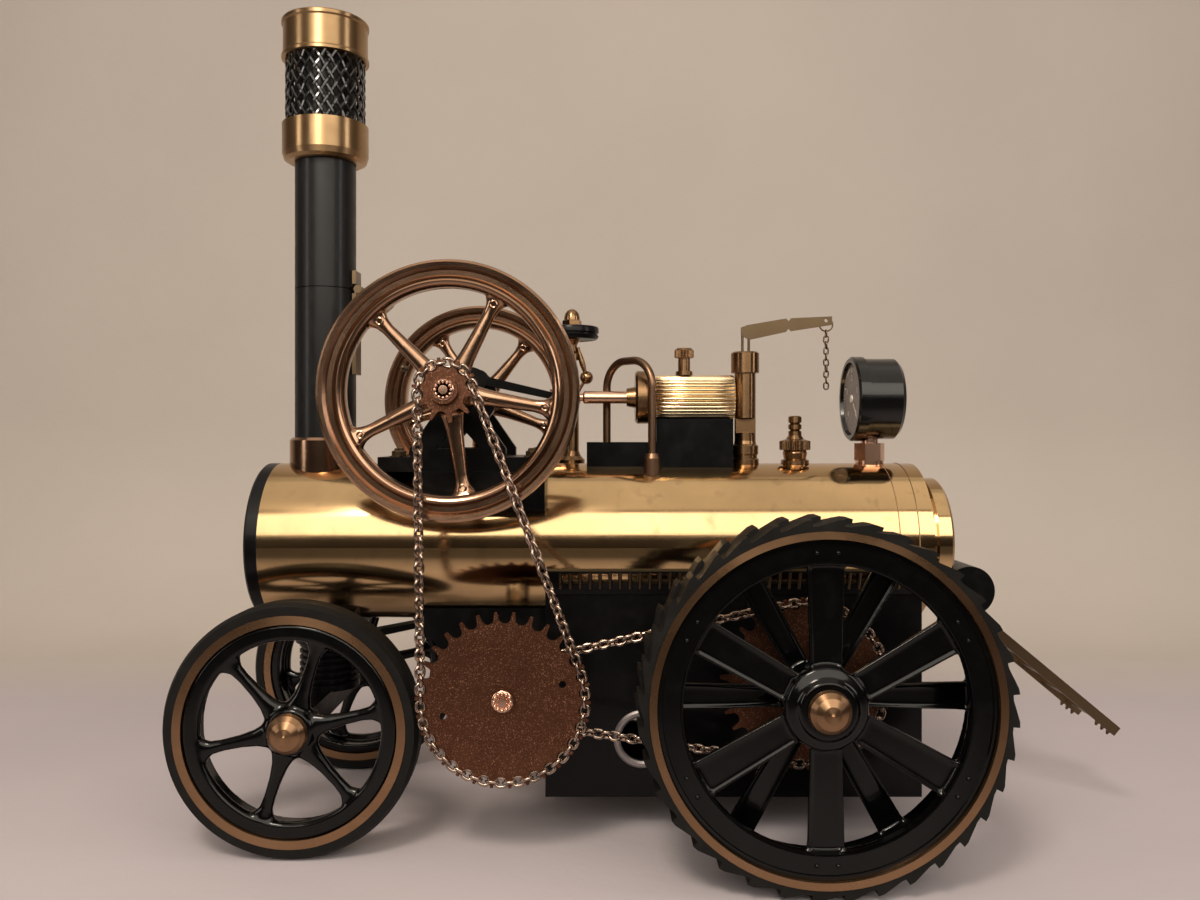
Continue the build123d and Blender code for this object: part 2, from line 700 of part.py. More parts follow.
with BuildPart() as layshaft_large_sprocket:
    y_low = first_chain_y - sprocket_width / 2
    side_sprocket(layshaft_x, layshaft_z, large_teeth, large_pitch_radius,
                  teeth_turn(first_loop, False), y_low, y_low + sprocket_width)
    side_round(layshaft_x, layshaft_z, 5.2, second_chain_y + 2.4, y_low + 0.2)
    side_round(layshaft_x, layshaft_z, 3.9, y_low + 1, y_low + sprocket_width + 1.2)
    for hole_angle in (165, 345):
        hole_x, hole_z = ring_points(layshaft_x, layshaft_z, [(20, hole_angle)])[0]
        side_round(hole_x, hole_z, 1.2, y_low - 1, y_low + sprocket_width + 1, Mode.SUBTRACT)
    side_round(layshaft_x, layshaft_z, layshaft_radius + seat, 0, first_chain_y + 5, Mode.SUBTRACT)
save(layshaft_large_sprocket, "layshaft_large_sprocket")

with BuildPart() as layshaft_small_sprocket:
    y_low = second_chain_y - sprocket_width / 2
    side_sprocket(layshaft_x, layshaft_z, small_teeth, small_pitch_radius,
                  teeth_turn(second_loop, True), y_low, y_low + sprocket_width)
    side_round(layshaft_x, layshaft_z, 5.6, second_chain_y - 2.0, second_chain_y + 2.2)
    side_round(layshaft_x, layshaft_z, layshaft_radius + seat, 0, first_chain_y, Mode.SUBTRACT)
save(layshaft_small_sprocket, "layshaft_small_sprocket")

with BuildPart() as rear_sprocket:
    y_low = second_chain_y - sprocket_width / 2
    side_sprocket(rear_axle_x, rear_axle_z, large_teeth, large_pitch_radius,
                  teeth_turn(second_loop, False), y_low, y_low + sprocket_width)
    side_round(rear_axle_x, rear_axle_z, 7.0, second_chain_y - 4, rear_tyre_inside_y - side_play)
    side_round(rear_axle_x, rear_axle_z, axle_radius + seat, 0, rear_tyre_inside_y, Mode.SUBTRACT)
save(rear_sprocket, "rear_sprocket")

# ---------------------------------------------------------------- crankshaft
with BuildPart() as crankshaft:
    side_round(crank_x, crank_z, shaft_radius, -flywheel_middle_y - flywheel_width / 2 - 3, first_chain_y + 3.4)
save(crankshaft, "crankshaft")

for name, side, rim_radius, turn in (
        ("left", 1, left_flywheel_radius, 10), ("right", -1, right_flywheel_radius, -21)):
    with BuildPart() as flywheel:
        middle = side * flywheel_middle_y
        half = flywheel_width / 2
        bore = rim_radius - flywheel_rim
        half_profile = [
            (bore, half - 1.4), (bore + 1.6, half), (bore + 2.8, half), (bore + 3.6, half - 1.2),
            (rim_radius - 3.2, half - 1.2), (rim_radius - 2.4, half), (rim_radius, half),
            (rim_radius, half - 2.4), (rim_radius - 1.4, half - 4)]
        turn_crosswise(crank_x, crank_z, [(r, middle + y) for r, y in half_profile]
                       + [(r, middle - y) for r, y in reversed(half_profile)])
        turn_crosswise(crank_x, crank_z, [
            (shaft_radius + seat, middle - half - 1), (flywheel_hub_radius, middle - half - 1),
            (flywheel_hub_radius, middle + half + 1), (shaft_radius + seat, middle + half + 1)])
        for spoke in range(flywheel_spoke_count):
            round_spoke(crank_x, middle, crank_z, 180 - (turn + 360 / flywheel_spoke_count * spoke),
                        flywheel_hub_radius - 2, bore + 1, (7.6, 4.6), (5.4, 3.4))
    save(flywheel, f"flywheel_{name}")

with BuildPart() as crank_sprocket:
    y_low = first_chain_y - sprocket_width / 2
    side_sprocket(crank_x, crank_z, small_teeth, small_pitch_radius,
                  teeth_turn(first_loop, True), y_low, y_low + sprocket_width)
    side_round(crank_x, crank_z, 6.0, flywheel_middle_y + flywheel_width / 2 + 1 + seat, y_low + 0.2)
    side_round(crank_x, crank_z, 4.6, y_low + 1, y_low + sprocket_width + 2.0)
    side_round(crank_x, crank_z, shaft_radius + seat, 0, first_chain_y + 8, Mode.SUBTRACT)
save(crank_sprocket, "crank_sprocket")

with BuildPart() as crank_disc:
    disc_inner_y = -crank_disc_width / 2 - 0.4
    disc_outer_y = crank_disc_width / 2 - 0.4
    turn_crosswise(crank_x, crank_z, [
        (shaft_radius + seat, disc_inner_y - 3), (shaft_radius + 3, disc_inner_y - 3),
        (shaft_radius + 3.4, disc_inner_y), (crank_disc_radius, disc_inner_y),
        (crank_disc_radius, disc_outer_y), (shaft_radius + seat, disc_outer_y)])
save(crank_disc, "crank_disc")

# ---------------------------------------------------------------- engine bed and bearings
with BuildPart() as engine_bed:
    bed_middle_x = (bed_front_x + bed_rear_x) / 2
    bed_length = bed_front_x - bed_rear_x
    with BuildSketch(Plane.XY.offset(bed_bottom_z)):
        with Locations((bed_middle_x, 0)):
            Rectangle(bed_length, 2 * bed_half_width)
    extrude(amount=bed_top_z - bed_bottom_z)
    with BuildSketch(Plane.XY.offset(saddle_bottom_z)):
        with Locations((bed_middle_x - 7, 0)):
            Rectangle(bed_length - 14, 2 * saddle_half_width)
    extrude(amount=bed_bottom_z - saddle_bottom_z)
    cut_boiler()
save(engine_bed, "engine_bed")

with BuildPart() as crank_pedestals:
    for side in (1, -1):
        y_low = side * pedestal_y - pedestal_width / 2
        side_slab([
            (crank_x - 17, bed_top_z), (crank_x + 17, bed_top_z), (crank_x + 17, bed_top_z + 3),
            (crank_x + 5, crank_z - 2), (crank_x - 5, crank_z - 2), (crank_x - 17, bed_top_z + 3)],
            y_low, y_low + pedestal_width)
        side_slab([
            (crank_x - 8, bed_top_z + 3), (crank_x + 8, bed_top_z + 3), (crank_x, bed_top_z + 12)],
            y_low, y_low + pedestal_width, Mode.SUBTRACT)
        side_round(crank_x, crank_z, bearing_radius, y_low - 0.6, y_low + pedestal_width + 0.6)
    side_round(crank_x, crank_z, shaft_radius + running_fit, -pedestal_y - 5, pedestal_y + 5, Mode.SUBTRACT)
save(crank_pedestals, "crank_pedestals")

with BuildPart() as connecting_rod:
    rod_low = disc_outer_y + side_play
    rod_high = rod_low + 2.6
    along = degrees(atan2(cylinder_z - crank_pin_z, crosshead_x - crank_pin_x))
    rod_length = hypot(cylinder_z - crank_pin_z, crosshead_x - crank_pin_x)
    side_slab(spoke_points(crank_pin_x, crank_pin_z, along, 0, rod_length, 3.4, 2.6), rod_low, rod_high)
    side_round(crank_pin_x, crank_pin_z, 3.6, rod_low, rod_high + 0.4)
    side_round(crosshead_x, cylinder_z, 3.0, rod_low, rod_high + 0.4)
    side_round(crosshead_x, cylinder_z, 1.4, rod_low, rod_high + 1.4)
save(connecting_rod, "connecting_rod")

# ---------------------------------------------------------------- cylinder
with BuildPart() as cylinder_block:
    with BuildSketch(Plane.XY.offset(boiler_axis_z)):
        with Locations(((block_front_x + block_rear_x) / 2, 0)):
            Rectangle(block_front_x - block_rear_x, 2 * block_half_width)
    extrude(amount=block_top_z - boiler_axis_z)
    with BuildSketch(Plane.XY.offset(boiler_axis_z)):
        with Locations(((block_front_x + foot_front_x) / 2, 0)):
            Rectangle(foot_front_x - block_front_x, 2 * block_half_width - 2)
    extrude(amount=foot_top_z - boiler_axis_z)
    cut_boiler()
    with BuildSketch(Plane.YZ.offset(block_rear_x - 5)):
        with Locations((0, cylinder_z)):
            Circle(jacket_radius + seat)
    extrude(amount=block_front_x - block_rear_x + 5, mode=Mode.SUBTRACT)
save(cylinder_block, "cylinder_block")

with BuildPart() as cylinder_jacket:
    with BuildSketch(Plane.YZ.offset(cylinder_rear_x)):
        with BuildLine():
            Polyline(*[
                ((jacket_radius - flute_depth * (step % 2)) * cos(pi * step / flute_count),
                 cylinder_z + (jacket_radius - flute_depth * (step % 2)) * sin(pi * step / flute_count))
                for step in range(2 * flute_count)], close=True)
        make_face()
    extrude(amount=cylinder_front_x - cylinder_rear_x)
save(cylinder_jacket, "cylinder_jacket")

with BuildPart() as cylinder_cover:
    cover_rear_x = cylinder_front_x + side_play
    turn_lengthwise(cylinder_z, [
        (cover_rear_x, 0), (cover_rear_x, cover_radius), (cover_front_x - 0.8, cover_radius),
        (cover_front_x, cover_radius - 0.8), (cover_front_x, 3.4 + 0.6),
        (cover_front_x + 3.2, 3.4), (cover_front_x + 3.2, 0)])
save(cylinder_cover, "cylinder_cover")

with BuildPart() as piston_guide:
    guide_rear_x = cover_front_x + 3.2
    turn_lengthwise(cylinder_z, [
        (guide_rear_x, 0), (guide_rear_x, guide_radius), (guide_front_x - 0.6, guide_radius),
        (guide_front_x, guide_radius - 0.6), (guide_front_x, 1.4), (crosshead_x, 1.4), (crosshead_x, 0)])
    side_slab([
        (crosshead_x - 3, cylinder_z - 3), (crosshead_x + 3, cylinder_z - 3),
        (crosshead_x + 3, cylinder_z + 3), (crosshead_x - 3, cylinder_z + 3)], -3, rod_low - seat)
save(piston_guide, "piston_guide")

with BuildPart() as oiler:
    turn_upright(oiler_x, 0, [(radius, cylinder_z + jacket_radius + height) for radius, height in (
        (0, 0), (3.2, 0), (3.2, 1.4), (2.3, 1.4), (2.3, 6.5), (3.4, 6.5), (3.4, 9.6), (2.8, 10.2), (0, 10.2))])
save(oiler, "oiler")

with BuildPart() as steam_pipe:
    with BuildLine() as pipe_path:
        FilletPolyline((pipe_inlet_x, -6, foot_top_z), (pipe_inlet_x, -6, pipe_top_z),
                       (pipe_outlet_x, pipe_outlet_y, pipe_top_z),
                       (pipe_outlet_x, pipe_outlet_y, boiler_top_z + 1.5), radius=10)
    with BuildSketch(Plane(pipe_path.line @ 0, z_dir=pipe_path.line % 0)):
        Circle(pipe_radius)
    sweep()
    turn_fitting(pipe_outlet_x, pipe_outlet_y, [(0, -9.5), (3.1, -9.5), (3.1, 2.1), (2.4, 3.9), (0, 3.9)])
    cut_boiler()
save(steam_pipe, "steam_pipe")

# ---------------------------------------------------------------- fittings
with BuildPart() as governor_column:
    turn_upright(governor_x, governor_y, [
        (0, boiler_axis_z + 15), (5, boiler_axis_z + 15), (5, boiler_top_z + 1), (3.6, boiler_top_z + 2.5),
        (2.7, boiler_top_z + 4.5), (2.7, governor_column_top_z - 3),
        (3.4, governor_column_top_z - 2), (3.4, governor_column_top_z),
        (governor_spindle_radius, governor_column_top_z),
        (governor_spindle_radius, governor_disc_bottom_z - 5.8), (0, governor_disc_bottom_z - 5.8)])
    cut_boiler()
save(governor_column, "governor_column")

with BuildPart() as governor_head:
    collar_z = governor_column_top_z + side_play
    sleeve_z = governor_disc_bottom_z - 8
    bore = governor_spindle_radius + running_fit
    turn_upright(governor_x, governor_y, [
        (0, collar_z), (2.6, collar_z), (2.6, collar_z + 2.6), (0, collar_z + 2.6)])
    turn_upright(governor_x, governor_y, [
        (0, sleeve_z), (2.6, sleeve_z), (3.6, governor_disc_bottom_z),
        (governor_disc_radius - 1, governor_disc_bottom_z), (governor_disc_radius, governor_disc_bottom_z + 1),
        (governor_disc_radius - 1.2, (governor_disc_bottom_z + governor_disc_top_z) / 2),
        (governor_disc_radius, governor_disc_top_z - 1), (governor_disc_radius - 1, governor_disc_top_z),
        (3.4, governor_disc_top_z), (3.4, governor_disc_top_z + 2.5), (2.2, governor_top_z - 1.7),
        (0, governor_top_z)])
    turn_upright(governor_x, governor_y, [
        (0, collar_z - 1), (bore, collar_z - 1), (bore, sleeve_z + 2.6), (0, sleeve_z + 2.6)], Mode.SUBTRACT)
    for side in (1, -1):
        ball_x = governor_x + side * ball_offset
        y_low = governor_y - 0.6
        side_slab([
            (governor_x + side * 1.6, collar_z + 0.4), (ball_x + side * 0.7, ball_z),
            (ball_x - side * 0.7, ball_z), (governor_x + side * 1.6, collar_z + 2.2)], y_low, y_low + 1.2)
        side_slab([
            (ball_x - side * 0.7, ball_z), (ball_x + side * 0.7, ball_z),
            (governor_x + side * 2.4, sleeve_z + 3.2), (governor_x + side * 1.6, sleeve_z + 1)],
            y_low, y_low + 1.2)
        turn_upright(ball_x, governor_y, [
            (ball_radius * sin(pi * step / 6), ball_z - ball_radius * cos(pi * step / 6)) for step in range(7)])
save(governor_head, "governor_head")

with BuildPart() as whistle:
    turn_fitting(whistle_x, 0, [
        (0, -9.5), (5.2, -9.5), (5.2, 1.5), (4.6, 2.1), (4.6, 3.1), (5, 3.5), (5, 6.5), (4.2, 7.3),
        (4, 8.5), (4, whistle_height - 8), (5.3, whistle_height - 8), (5.3, whistle_height - 0.6),
        (4.6, whistle_height), (0, whistle_height)])
    with BuildSketch(Plane.XY.offset(boiler_top_z + 11.5)):
        with Locations((whistle_x, 4)):
            Rectangle(9, 5)
    extrude(amount=5.6, mode=Mode.SUBTRACT)
    cut_boiler()
save(whistle, "whistle")

whistle_top_z = boiler_top_z + whistle_height
lever_z = whistle_top_z + lever_rise
lever_hole_x = lever_end_x + 2.2
lever_notch_x = (whistle_x + lever_end_x) / 2
with BuildPart() as whistle_lever:
    side_slab([
        (whistle_x + 1.6, lever_z - 1.8), (whistle_x - 0.9, lever_z - 0.9), (lever_notch_x + 1, lever_z + 1.6),
        (lever_notch_x, lever_z + 0.6), (lever_notch_x - 1, lever_z + 1.7), (lever_end_x, lever_z + 2.4),
        (lever_end_x, lever_z - 0.8), (lever_notch_x - 1, lever_z - 3.2), (lever_notch_x, lever_z - 2.2),
        (lever_notch_x + 1, lever_z - 3.5), (whistle_x - 1.5, lever_z - 6.5), (whistle_x + 1.6, lever_z - 4.6)],
        -0.5, 0.5)
    side_round(lever_hole_x, lever_z + 0.8, 0.7, -2, 2, Mode.SUBTRACT)
    for wire_x in (whistle_x + 1.0, whistle_x - 1.4):
        turn_upright(wire_x, 0, [
            (0, whistle_top_z), (0.5, whistle_top_z), (0.5, lever_z - 4), (0, lever_z - 4)])
save(whistle_lever, "whistle_lever")

with BuildPart() as safety_valve:
    turn_fitting(valve_x, 0, [
        (0, -9.5), (5.3, -9.5), (5.3, 1.1), (4.2, 1.7), (4.6, 3.9), (4.2, 5), (5.5, 5),
        (5.5, 8.5), (3.4, 9.1), (2.5, 10.5), (2.5, 12), (1.7, 12.5), (2.5, 13), (2.5, 14.5),
        (1.7, 15), (2.5, 15.5), (2.5, 17.5), (1.8, 17.9), (0, 17.9)])
    cut_boiler()
save(safety_valve, "safety_valve")

with BuildPart() as gauge_case:
    turn_lengthwise(gauge_z, [
        (gauge_rear_x, 0), (gauge_rear_x, gauge_radius - 2.2),
        (gauge_rear_x + 1.4, gauge_radius - gauge_rim_step),
        (gauge_front_x - 4.4, gauge_radius - gauge_rim_step), (gauge_front_x - 4.4, gauge_radius),
        (gauge_front_x - 0.8, gauge_radius), (gauge_front_x, gauge_radius - 0.8),
        (gauge_front_x, gauge_radius - 2.2), (gauge_front_x - 1.6, gauge_radius - 2.6),
        (gauge_front_x - 1.6, 0)])
save(gauge_case, "gauge_case")

with BuildPart() as gauge_stem:
    with BuildSketch(Plane.XY.offset(boiler_top_z + 1.1)):
        with Locations((gauge_stem_x, 0)):
            RegularPolygon(5.7, 6)
    extrude(amount=6.5)
    turn_fitting(gauge_stem_x, 0, [(0, -9.5), (5.2, -9.5), (5.2, 1.1), (0, 1.1)])
    turn_fitting(gauge_stem_x, 0, [
        (0, 6.5), (3.2, 6.5), (3.2, gauge_stem_height + 3.4), (0, gauge_stem_height + 3.4)])
    with BuildSketch(Plane.YZ.offset(gauge_rear_x - 5)):
        with Locations((0, gauge_z)):
            Circle(gauge_radius - gauge_rim_step + seat)
    extrude(amount=30, mode=Mode.SUBTRACT)
    cut_boiler()
save(gauge_stem, "gauge_stem")

# ---------------------------------------------------------------- chimney
with BuildPart() as chimney_foot:
    turn_upright(chimney_x, 0, [
        (0, boiler_axis_z + 10), (chimney_foot_radius, boiler_axis_z + 10),
        (chimney_foot_radius, chimney_foot_top_z - 1),
        (chimney_foot_radius - 1, chimney_foot_top_z), (0, chimney_foot_top_z)])
    cut_boiler()
    turn_upright(chimney_x, 0, [
        (0, boiler_axis_z), (chimney_radius + seat, boiler_axis_z),
        (chimney_radius + seat, chimney_foot_top_z + 5), (0, chimney_foot_top_z + 5)], Mode.SUBTRACT)
save(chimney_foot, "chimney_foot")

hinge_x = chimney_x - chimney_radius - 1.75
knuckle_radius = 1.5
leaf_length = 32.0
knuckle_half = 4.0
leaf_inner_x = chimney_x - chimney_radius + 0.3
leaf_outer_x = leaf_inner_x - 1.5

with BuildPart() as chimney_lower:
    turn_upright(chimney_x, 0, [
        (chimney_radius - chimney_wall, boiler_axis_z + 10), (chimney_radius, boiler_axis_z + 10),
        (chimney_radius, chimney_split_z - side_play / 2),
        (chimney_radius - chimney_wall, chimney_split_z - side_play / 2)])
    cut_boiler()
save(chimney_lower, "chimney_lower")

with BuildPart() as chimney_upper:
    turn_upright(chimney_x, 0, [
        (chimney_radius - chimney_wall, chimney_split_z + side_play / 2),
        (chimney_radius, chimney_split_z + side_play / 2), (chimney_radius, cage_top_z - seat),
        (chimney_radius - chimney_wall, cage_top_z - seat)])
save(chimney_upper, "chimney_upper")

with BuildPart() as chimney_cup:
    turn_upright(chimney_x, 0, [
        (chimney_radius + seat, cup_bottom_z), (cup_radius - 2.4, cup_bottom_z),
        (cup_radius - 0.7, cup_bottom_z + 0.9), (cup_radius, cup_bottom_z + 3), (cup_radius, cage_bottom_z),
        (cage_radius - cage_strand - 0.6, cage_bottom_z), (cage_radius - cage_strand - 0.6, cup_bottom_z + 4),
        (chimney_radius + seat, cup_bottom_z + 4)])
save(chimney_cup, "chimney_cup")

diamond_height = (cage_top_z - cage_bottom_z) / cage_rows
diamond_width = 2 * pi * cage_radius / cage_columns
window_start = cage_radius - 2 * cage_strand
with BuildPart() as chimney_cage:
    turn_upright(chimney_x, 0, [
        (cage_radius - cage_strand, cage_bottom_z), (cage_radius, cage_bottom_z),
        (cage_radius, cage_top_z), (cage_radius - cage_strand, cage_top_z)])
    windows = []
    for row in range(2 * cage_rows - 1):
        for column in range(cage_columns):
            turn = 360 / cage_columns * (column + 0.5 * (row % 2))
            outward = (cos(radians(turn)), sin(radians(turn)), 0)
            windows.append(Plane(
                (chimney_x + window_start * outward[0], window_start * outward[1],
                 cage_bottom_z + diamond_height * (row + 1) / 2),
                x_dir=(-outward[1], outward[0], 0), z_dir=outward))
    with BuildSketch(*windows):
        with BuildLine():
            half_width = diamond_width / 2 - cage_strand * 0.75
            half_height = diamond_height / 2 - cage_strand * 0.85
            Polyline((half_width, 0), (0, half_height), (-half_width, 0), (0, -half_height), close=True)
        make_face()
    extrude(amount=2 * cage_strand + 2, mode=Mode.SUBTRACT)
save(chimney_cage, "chimney_cage")

with BuildPart() as chimney_crown:
    turn_upright(chimney_x, 0, [
        (chimney_radius - chimney_wall, cage_top_z), (crown_radius, cage_top_z), (crown_radius, cage_top_z + 1),
        (crown_radius - 0.5, cage_top_z + 1.6), (crown_radius - 0.5, chimney_top_z - 2.2),
        (crown_radius, chimney_top_z - 1.6), (crown_radius, chimney_top_z - 0.5),
        (crown_radius - 0.5, chimney_top_z), (crown_radius - 2.0, chimney_top_z),
        (crown_radius - 2.0, cage_top_z + 2), (chimney_radius - chimney_wall, cage_top_z + 2)])
save(chimney_crown, "chimney_crown")

with BuildPart() as hinge_lower:
    with BuildSketch(Plane.XY.offset(chimney_split_z - leaf_length)):
        with Locations(((leaf_inner_x + leaf_outer_x) / 2, 0)):
            Rectangle(leaf_inner_x - leaf_outer_x, 2 * knuckle_half)
    extrude(amount=leaf_length - knuckle_radius - 0.2)
    for side in (1, -1):
        y_low, y_high = sorted((side * 1.5, side * knuckle_half))
        side_round(hinge_x, chimney_split_z, knuckle_radius, y_low, y_high)
        side_slab([
            (leaf_outer_x, chimney_split_z - 3), (leaf_inner_x - 0.9, chimney_split_z - 3),
            (leaf_inner_x - 0.9, chimney_split_z), (leaf_outer_x, chimney_split_z)], y_low, y_high)
    side_round(hinge_x, chimney_split_z, hinge_pin_radius - running_fit, -knuckle_half, knuckle_half)
    side_slab([(hinge_x + forward, chimney_split_z + up) for forward, up in (
        (1.2, -18.0), (1.2, -16.4), (-6.5, -11.4), (-12.5, -6.4), (-15.9, -1.0),
        (-16.9, -1.4), (-13.3, -7.2), (-7.1, -12.6), (-0.6, -18.4))], knuckle_half, knuckle_half + 1)
    turn_upright(chimney_x, 0, [
        (0, boiler_axis_z), (chimney_radius + seat, boiler_axis_z),
        (chimney_radius + seat, chimney_split_z + 5), (0, chimney_split_z + 5)], Mode.SUBTRACT)
save(hinge_lower, "hinge_lower")

with BuildPart() as hinge_upper:
    with BuildSketch(Plane.XY.offset(chimney_split_z + knuckle_radius + 0.4)):
        with Locations(((leaf_inner_x + leaf_outer_x) / 2, 0)):
            Rectangle(leaf_inner_x - leaf_outer_x, 2 * knuckle_half)
    extrude(amount=5)
    side_round(hinge_x, chimney_split_z, knuckle_radius, -1.2, 1.2)
    side_slab([
        (leaf_outer_x, chimney_split_z), (leaf_inner_x - 0.9, chimney_split_z),
        (leaf_inner_x - 0.9, chimney_split_z + 3), (leaf_outer_x, chimney_split_z + 3)], -1.2, 1.2)
    side_round(hinge_x, chimney_split_z, hinge_pin_radius, -2, 2, Mode.SUBTRACT)
    turn_upright(chimney_x, 0, [
        (0, chimney_split_z - 5), (chimney_radius + seat, chimney_split_z - 5),
        (chimney_radius + seat, chimney_split_z + 20), (0, chimney_split_z + 20)], Mode.SUBTRACT)
save(hinge_upper, "hinge_upper")


# ---------------------------------------------------------------- gauge dial and whistle chain
with BuildPart() as gauge_dial:
    turn_lengthwise(gauge_z, [
        (gauge_front_x - 1.6, 0), (gauge_front_x - 1.6, gauge_radius - 2.8),
        (gauge_front_x - 1.2, gauge_radius - 2.8), (gauge_front_x - 1.2, 0)])
save(gauge_dial, "gauge_dial")

whistle_links = 9
whistle_link_step = 3.0
with BuildPart() as whistle_chain:
    for link in range(whistle_links):
        link_z = lever_z - 0.8 - whistle_link_step * link
        plane = Plane.XZ if link % 2 else Plane.YZ.offset(lever_hole_x)
        middle = (lever_hole_x, link_z) if link % 2 else (0, link_z)
        with BuildSketch(plane):
            with Locations(middle):
                Rectangle(2.6, 4.0)
                Rectangle(1.5, 2.8, mode=Mode.SUBTRACT)
        extrude(amount=0.3, both=True)
save(whistle_chain, "whistle_chain")

# ---------------------------------------------------------------- rear arm
with BuildPart() as arm_bracket:
    side_round(arm_barrel_x, arm_barrel_z, arm_barrel_radius, -arm_half_gap, arm_half_gap)
    side_slab([
        (rear_cap_x, arm_barrel_z - 5), (rear_cap_x, arm_barrel_z + 7),
        (arm_barrel_x, arm_barrel_z + 7), (arm_barrel_x, arm_barrel_z - 5)], -arm_half_gap + 2, arm_half_gap - 2)
save(arm_bracket, "arm_bracket")

slope = radians(arm_slope)
arm_start_x = arm_barrel_x + 4.5
arm_start_z = arm_barrel_z - 1.0
arm_length = (arm_start_x - arm_end_x) / cos(slope)


def along_arm(distance, below):
    """Point at a distance down the arm, and below its top edge."""
    return (arm_start_x - distance * cos(slope) + below * sin(slope),
            arm_start_z - distance * sin(slope) - below * cos(slope))


with BuildPart() as rear_arm:
    rail_points = [along_arm(0, 0), along_arm(arm_length, 0), along_arm(arm_length, arm_rail_height)]
    for tooth in range(3):
        start = arm_length - 2.0 - tooth * 2.6
        rail_points += [along_arm(start, arm_rail_height), along_arm(start - 0.3, arm_rail_height + 1.3),
                        along_arm(start - 1.2, arm_rail_height)]
    rail_points.append(along_arm(0, arm_rail_height))
    for side in (1, -1):
        y_low, y_high = sorted((side * arm_half_gap, side * (arm_half_gap + arm_rail_width)))
        side_slab(rail_points, y_low, y_high)
    for rung in range(arm_rung_count):
        middle = first_rung + rung * (arm_length - first_rung - last_rung_gap) / (arm_rung_count - 1)
        side_slab([
            along_arm(middle - 1.5, 1.4), along_arm(middle + 1.5, 1.4),
            along_arm(middle + 1.5, 2.4), along_arm(middle - 1.5, 2.4)], -arm_half_gap, arm_half_gap)
save(rear_arm, "rear_arm")
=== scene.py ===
"""Looks of the model steam locomobile, laid out as an add-on: finishes, cast wheels, linked chains and fittings."""

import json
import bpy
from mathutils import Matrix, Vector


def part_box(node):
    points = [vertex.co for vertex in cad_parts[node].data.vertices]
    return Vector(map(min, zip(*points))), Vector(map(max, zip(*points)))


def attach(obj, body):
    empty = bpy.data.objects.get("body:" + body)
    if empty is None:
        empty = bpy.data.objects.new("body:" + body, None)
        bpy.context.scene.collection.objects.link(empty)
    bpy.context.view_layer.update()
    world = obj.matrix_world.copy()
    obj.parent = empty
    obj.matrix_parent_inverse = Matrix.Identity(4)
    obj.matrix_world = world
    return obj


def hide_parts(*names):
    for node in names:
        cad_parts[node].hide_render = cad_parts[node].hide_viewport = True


bl_info = {
    "name": "Model steam locomobile",
    "version": (1, 0, 0),
    "blender": (4, 5, 0),
    "location": "View3D > Sidebar > Locomobile",
    "description": "Finishes, cast wheels, linked chains, fittings and a plain stage for a model steam locomobile",
    "category": "Object",
}

from math import pi, radians

import bmesh
import bpy
import numpy as np
from bpy.props import FloatProperty, FloatVectorProperty, IntProperty, PointerProperty
from mathutils import Matrix, Vector

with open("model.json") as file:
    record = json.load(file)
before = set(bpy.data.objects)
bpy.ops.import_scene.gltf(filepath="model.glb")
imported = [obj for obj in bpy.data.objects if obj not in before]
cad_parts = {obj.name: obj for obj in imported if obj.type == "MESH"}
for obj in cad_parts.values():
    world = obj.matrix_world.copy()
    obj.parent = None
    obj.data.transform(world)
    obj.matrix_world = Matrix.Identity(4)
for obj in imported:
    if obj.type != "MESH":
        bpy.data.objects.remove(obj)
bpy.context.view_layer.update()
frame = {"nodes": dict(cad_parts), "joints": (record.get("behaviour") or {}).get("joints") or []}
nodes = frame["nodes"]
joints = {joint["name"]: joint for joint in frame["joints"]}
MM = 0.001


def low_high(node):
    """Corners of a CAD node's box, in millimetres."""
    low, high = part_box(node)
    return np.array(low) / MM, np.array(high) / MM


def middle(node):
    """Middle of a CAD node's box, in millimetres."""
    return sum(low_high(node)) / 2


def joint_place(name):
    """Point on a joint's axis, in millimetres."""
    return np.array(joints[name]["pos_m"]) / MM


def linked(name, data):
    """New object for some data, in the scene."""
    item = bpy.data.objects.new(name, data)
    bpy.context.scene.collection.objects.link(item)
    return item


def evaluated_mesh(item):
    """New mesh of an object as its modifiers or its text settings leave it."""
    return bpy.data.meshes.new_from_object(item.evaluated_get(bpy.context.evaluated_depsgraph_get()))


CRANK = joint_place("crank_spin")
LAYSHAFT = joint_place("layshaft_spin")
REAR = joint_place("rear_wheel_spin")
FRONT = joint_place("front_wheel_left_spin")
TOOTH_PITCH = 5.6
SMALL_TEETH, LARGE_TEETH = 10, 30
SMALL_PITCH = TOOTH_PITCH * SMALL_TEETH / (2 * pi)
LARGE_PITCH = TOOTH_PITCH * LARGE_TEETH / (2 * pi)
FLYWHEEL_SPOKES, FRONT_SPOKES, REAR_SPOKES = 5, 6, 6
AXLE_HOLE, SHAFT_HOLE = 3.15, 3.2
EVEN = (1, 1, 1)


# ---------------------------------------------------------------- settings
def colour(name, description, default):
    """Colour setting, in linear light."""
    return FloatVectorProperty(name=name, description=description, default=default, size=3, min=0, max=1,
                               subtype="COLOR")


def length(name, description, millimetres):
    """Length setting."""
    return FloatProperty(name=name, description=description, default=millimetres * MM, min=0, unit="LENGTH")


def angle(name, description, degrees):
    """Angle setting."""
    return FloatProperty(name=name, description=description, default=radians(degrees), subtype="ANGLE")


def share(name, description, default):
    """Setting from 0 to 1."""
    return FloatProperty(name=name, description=description, default=default, min=0, max=1, subtype="FACTOR")


def power(name, description, watts):
    """Power of a lamp."""
    return FloatProperty(name=name, description=description, default=watts, min=0, unit="POWER")


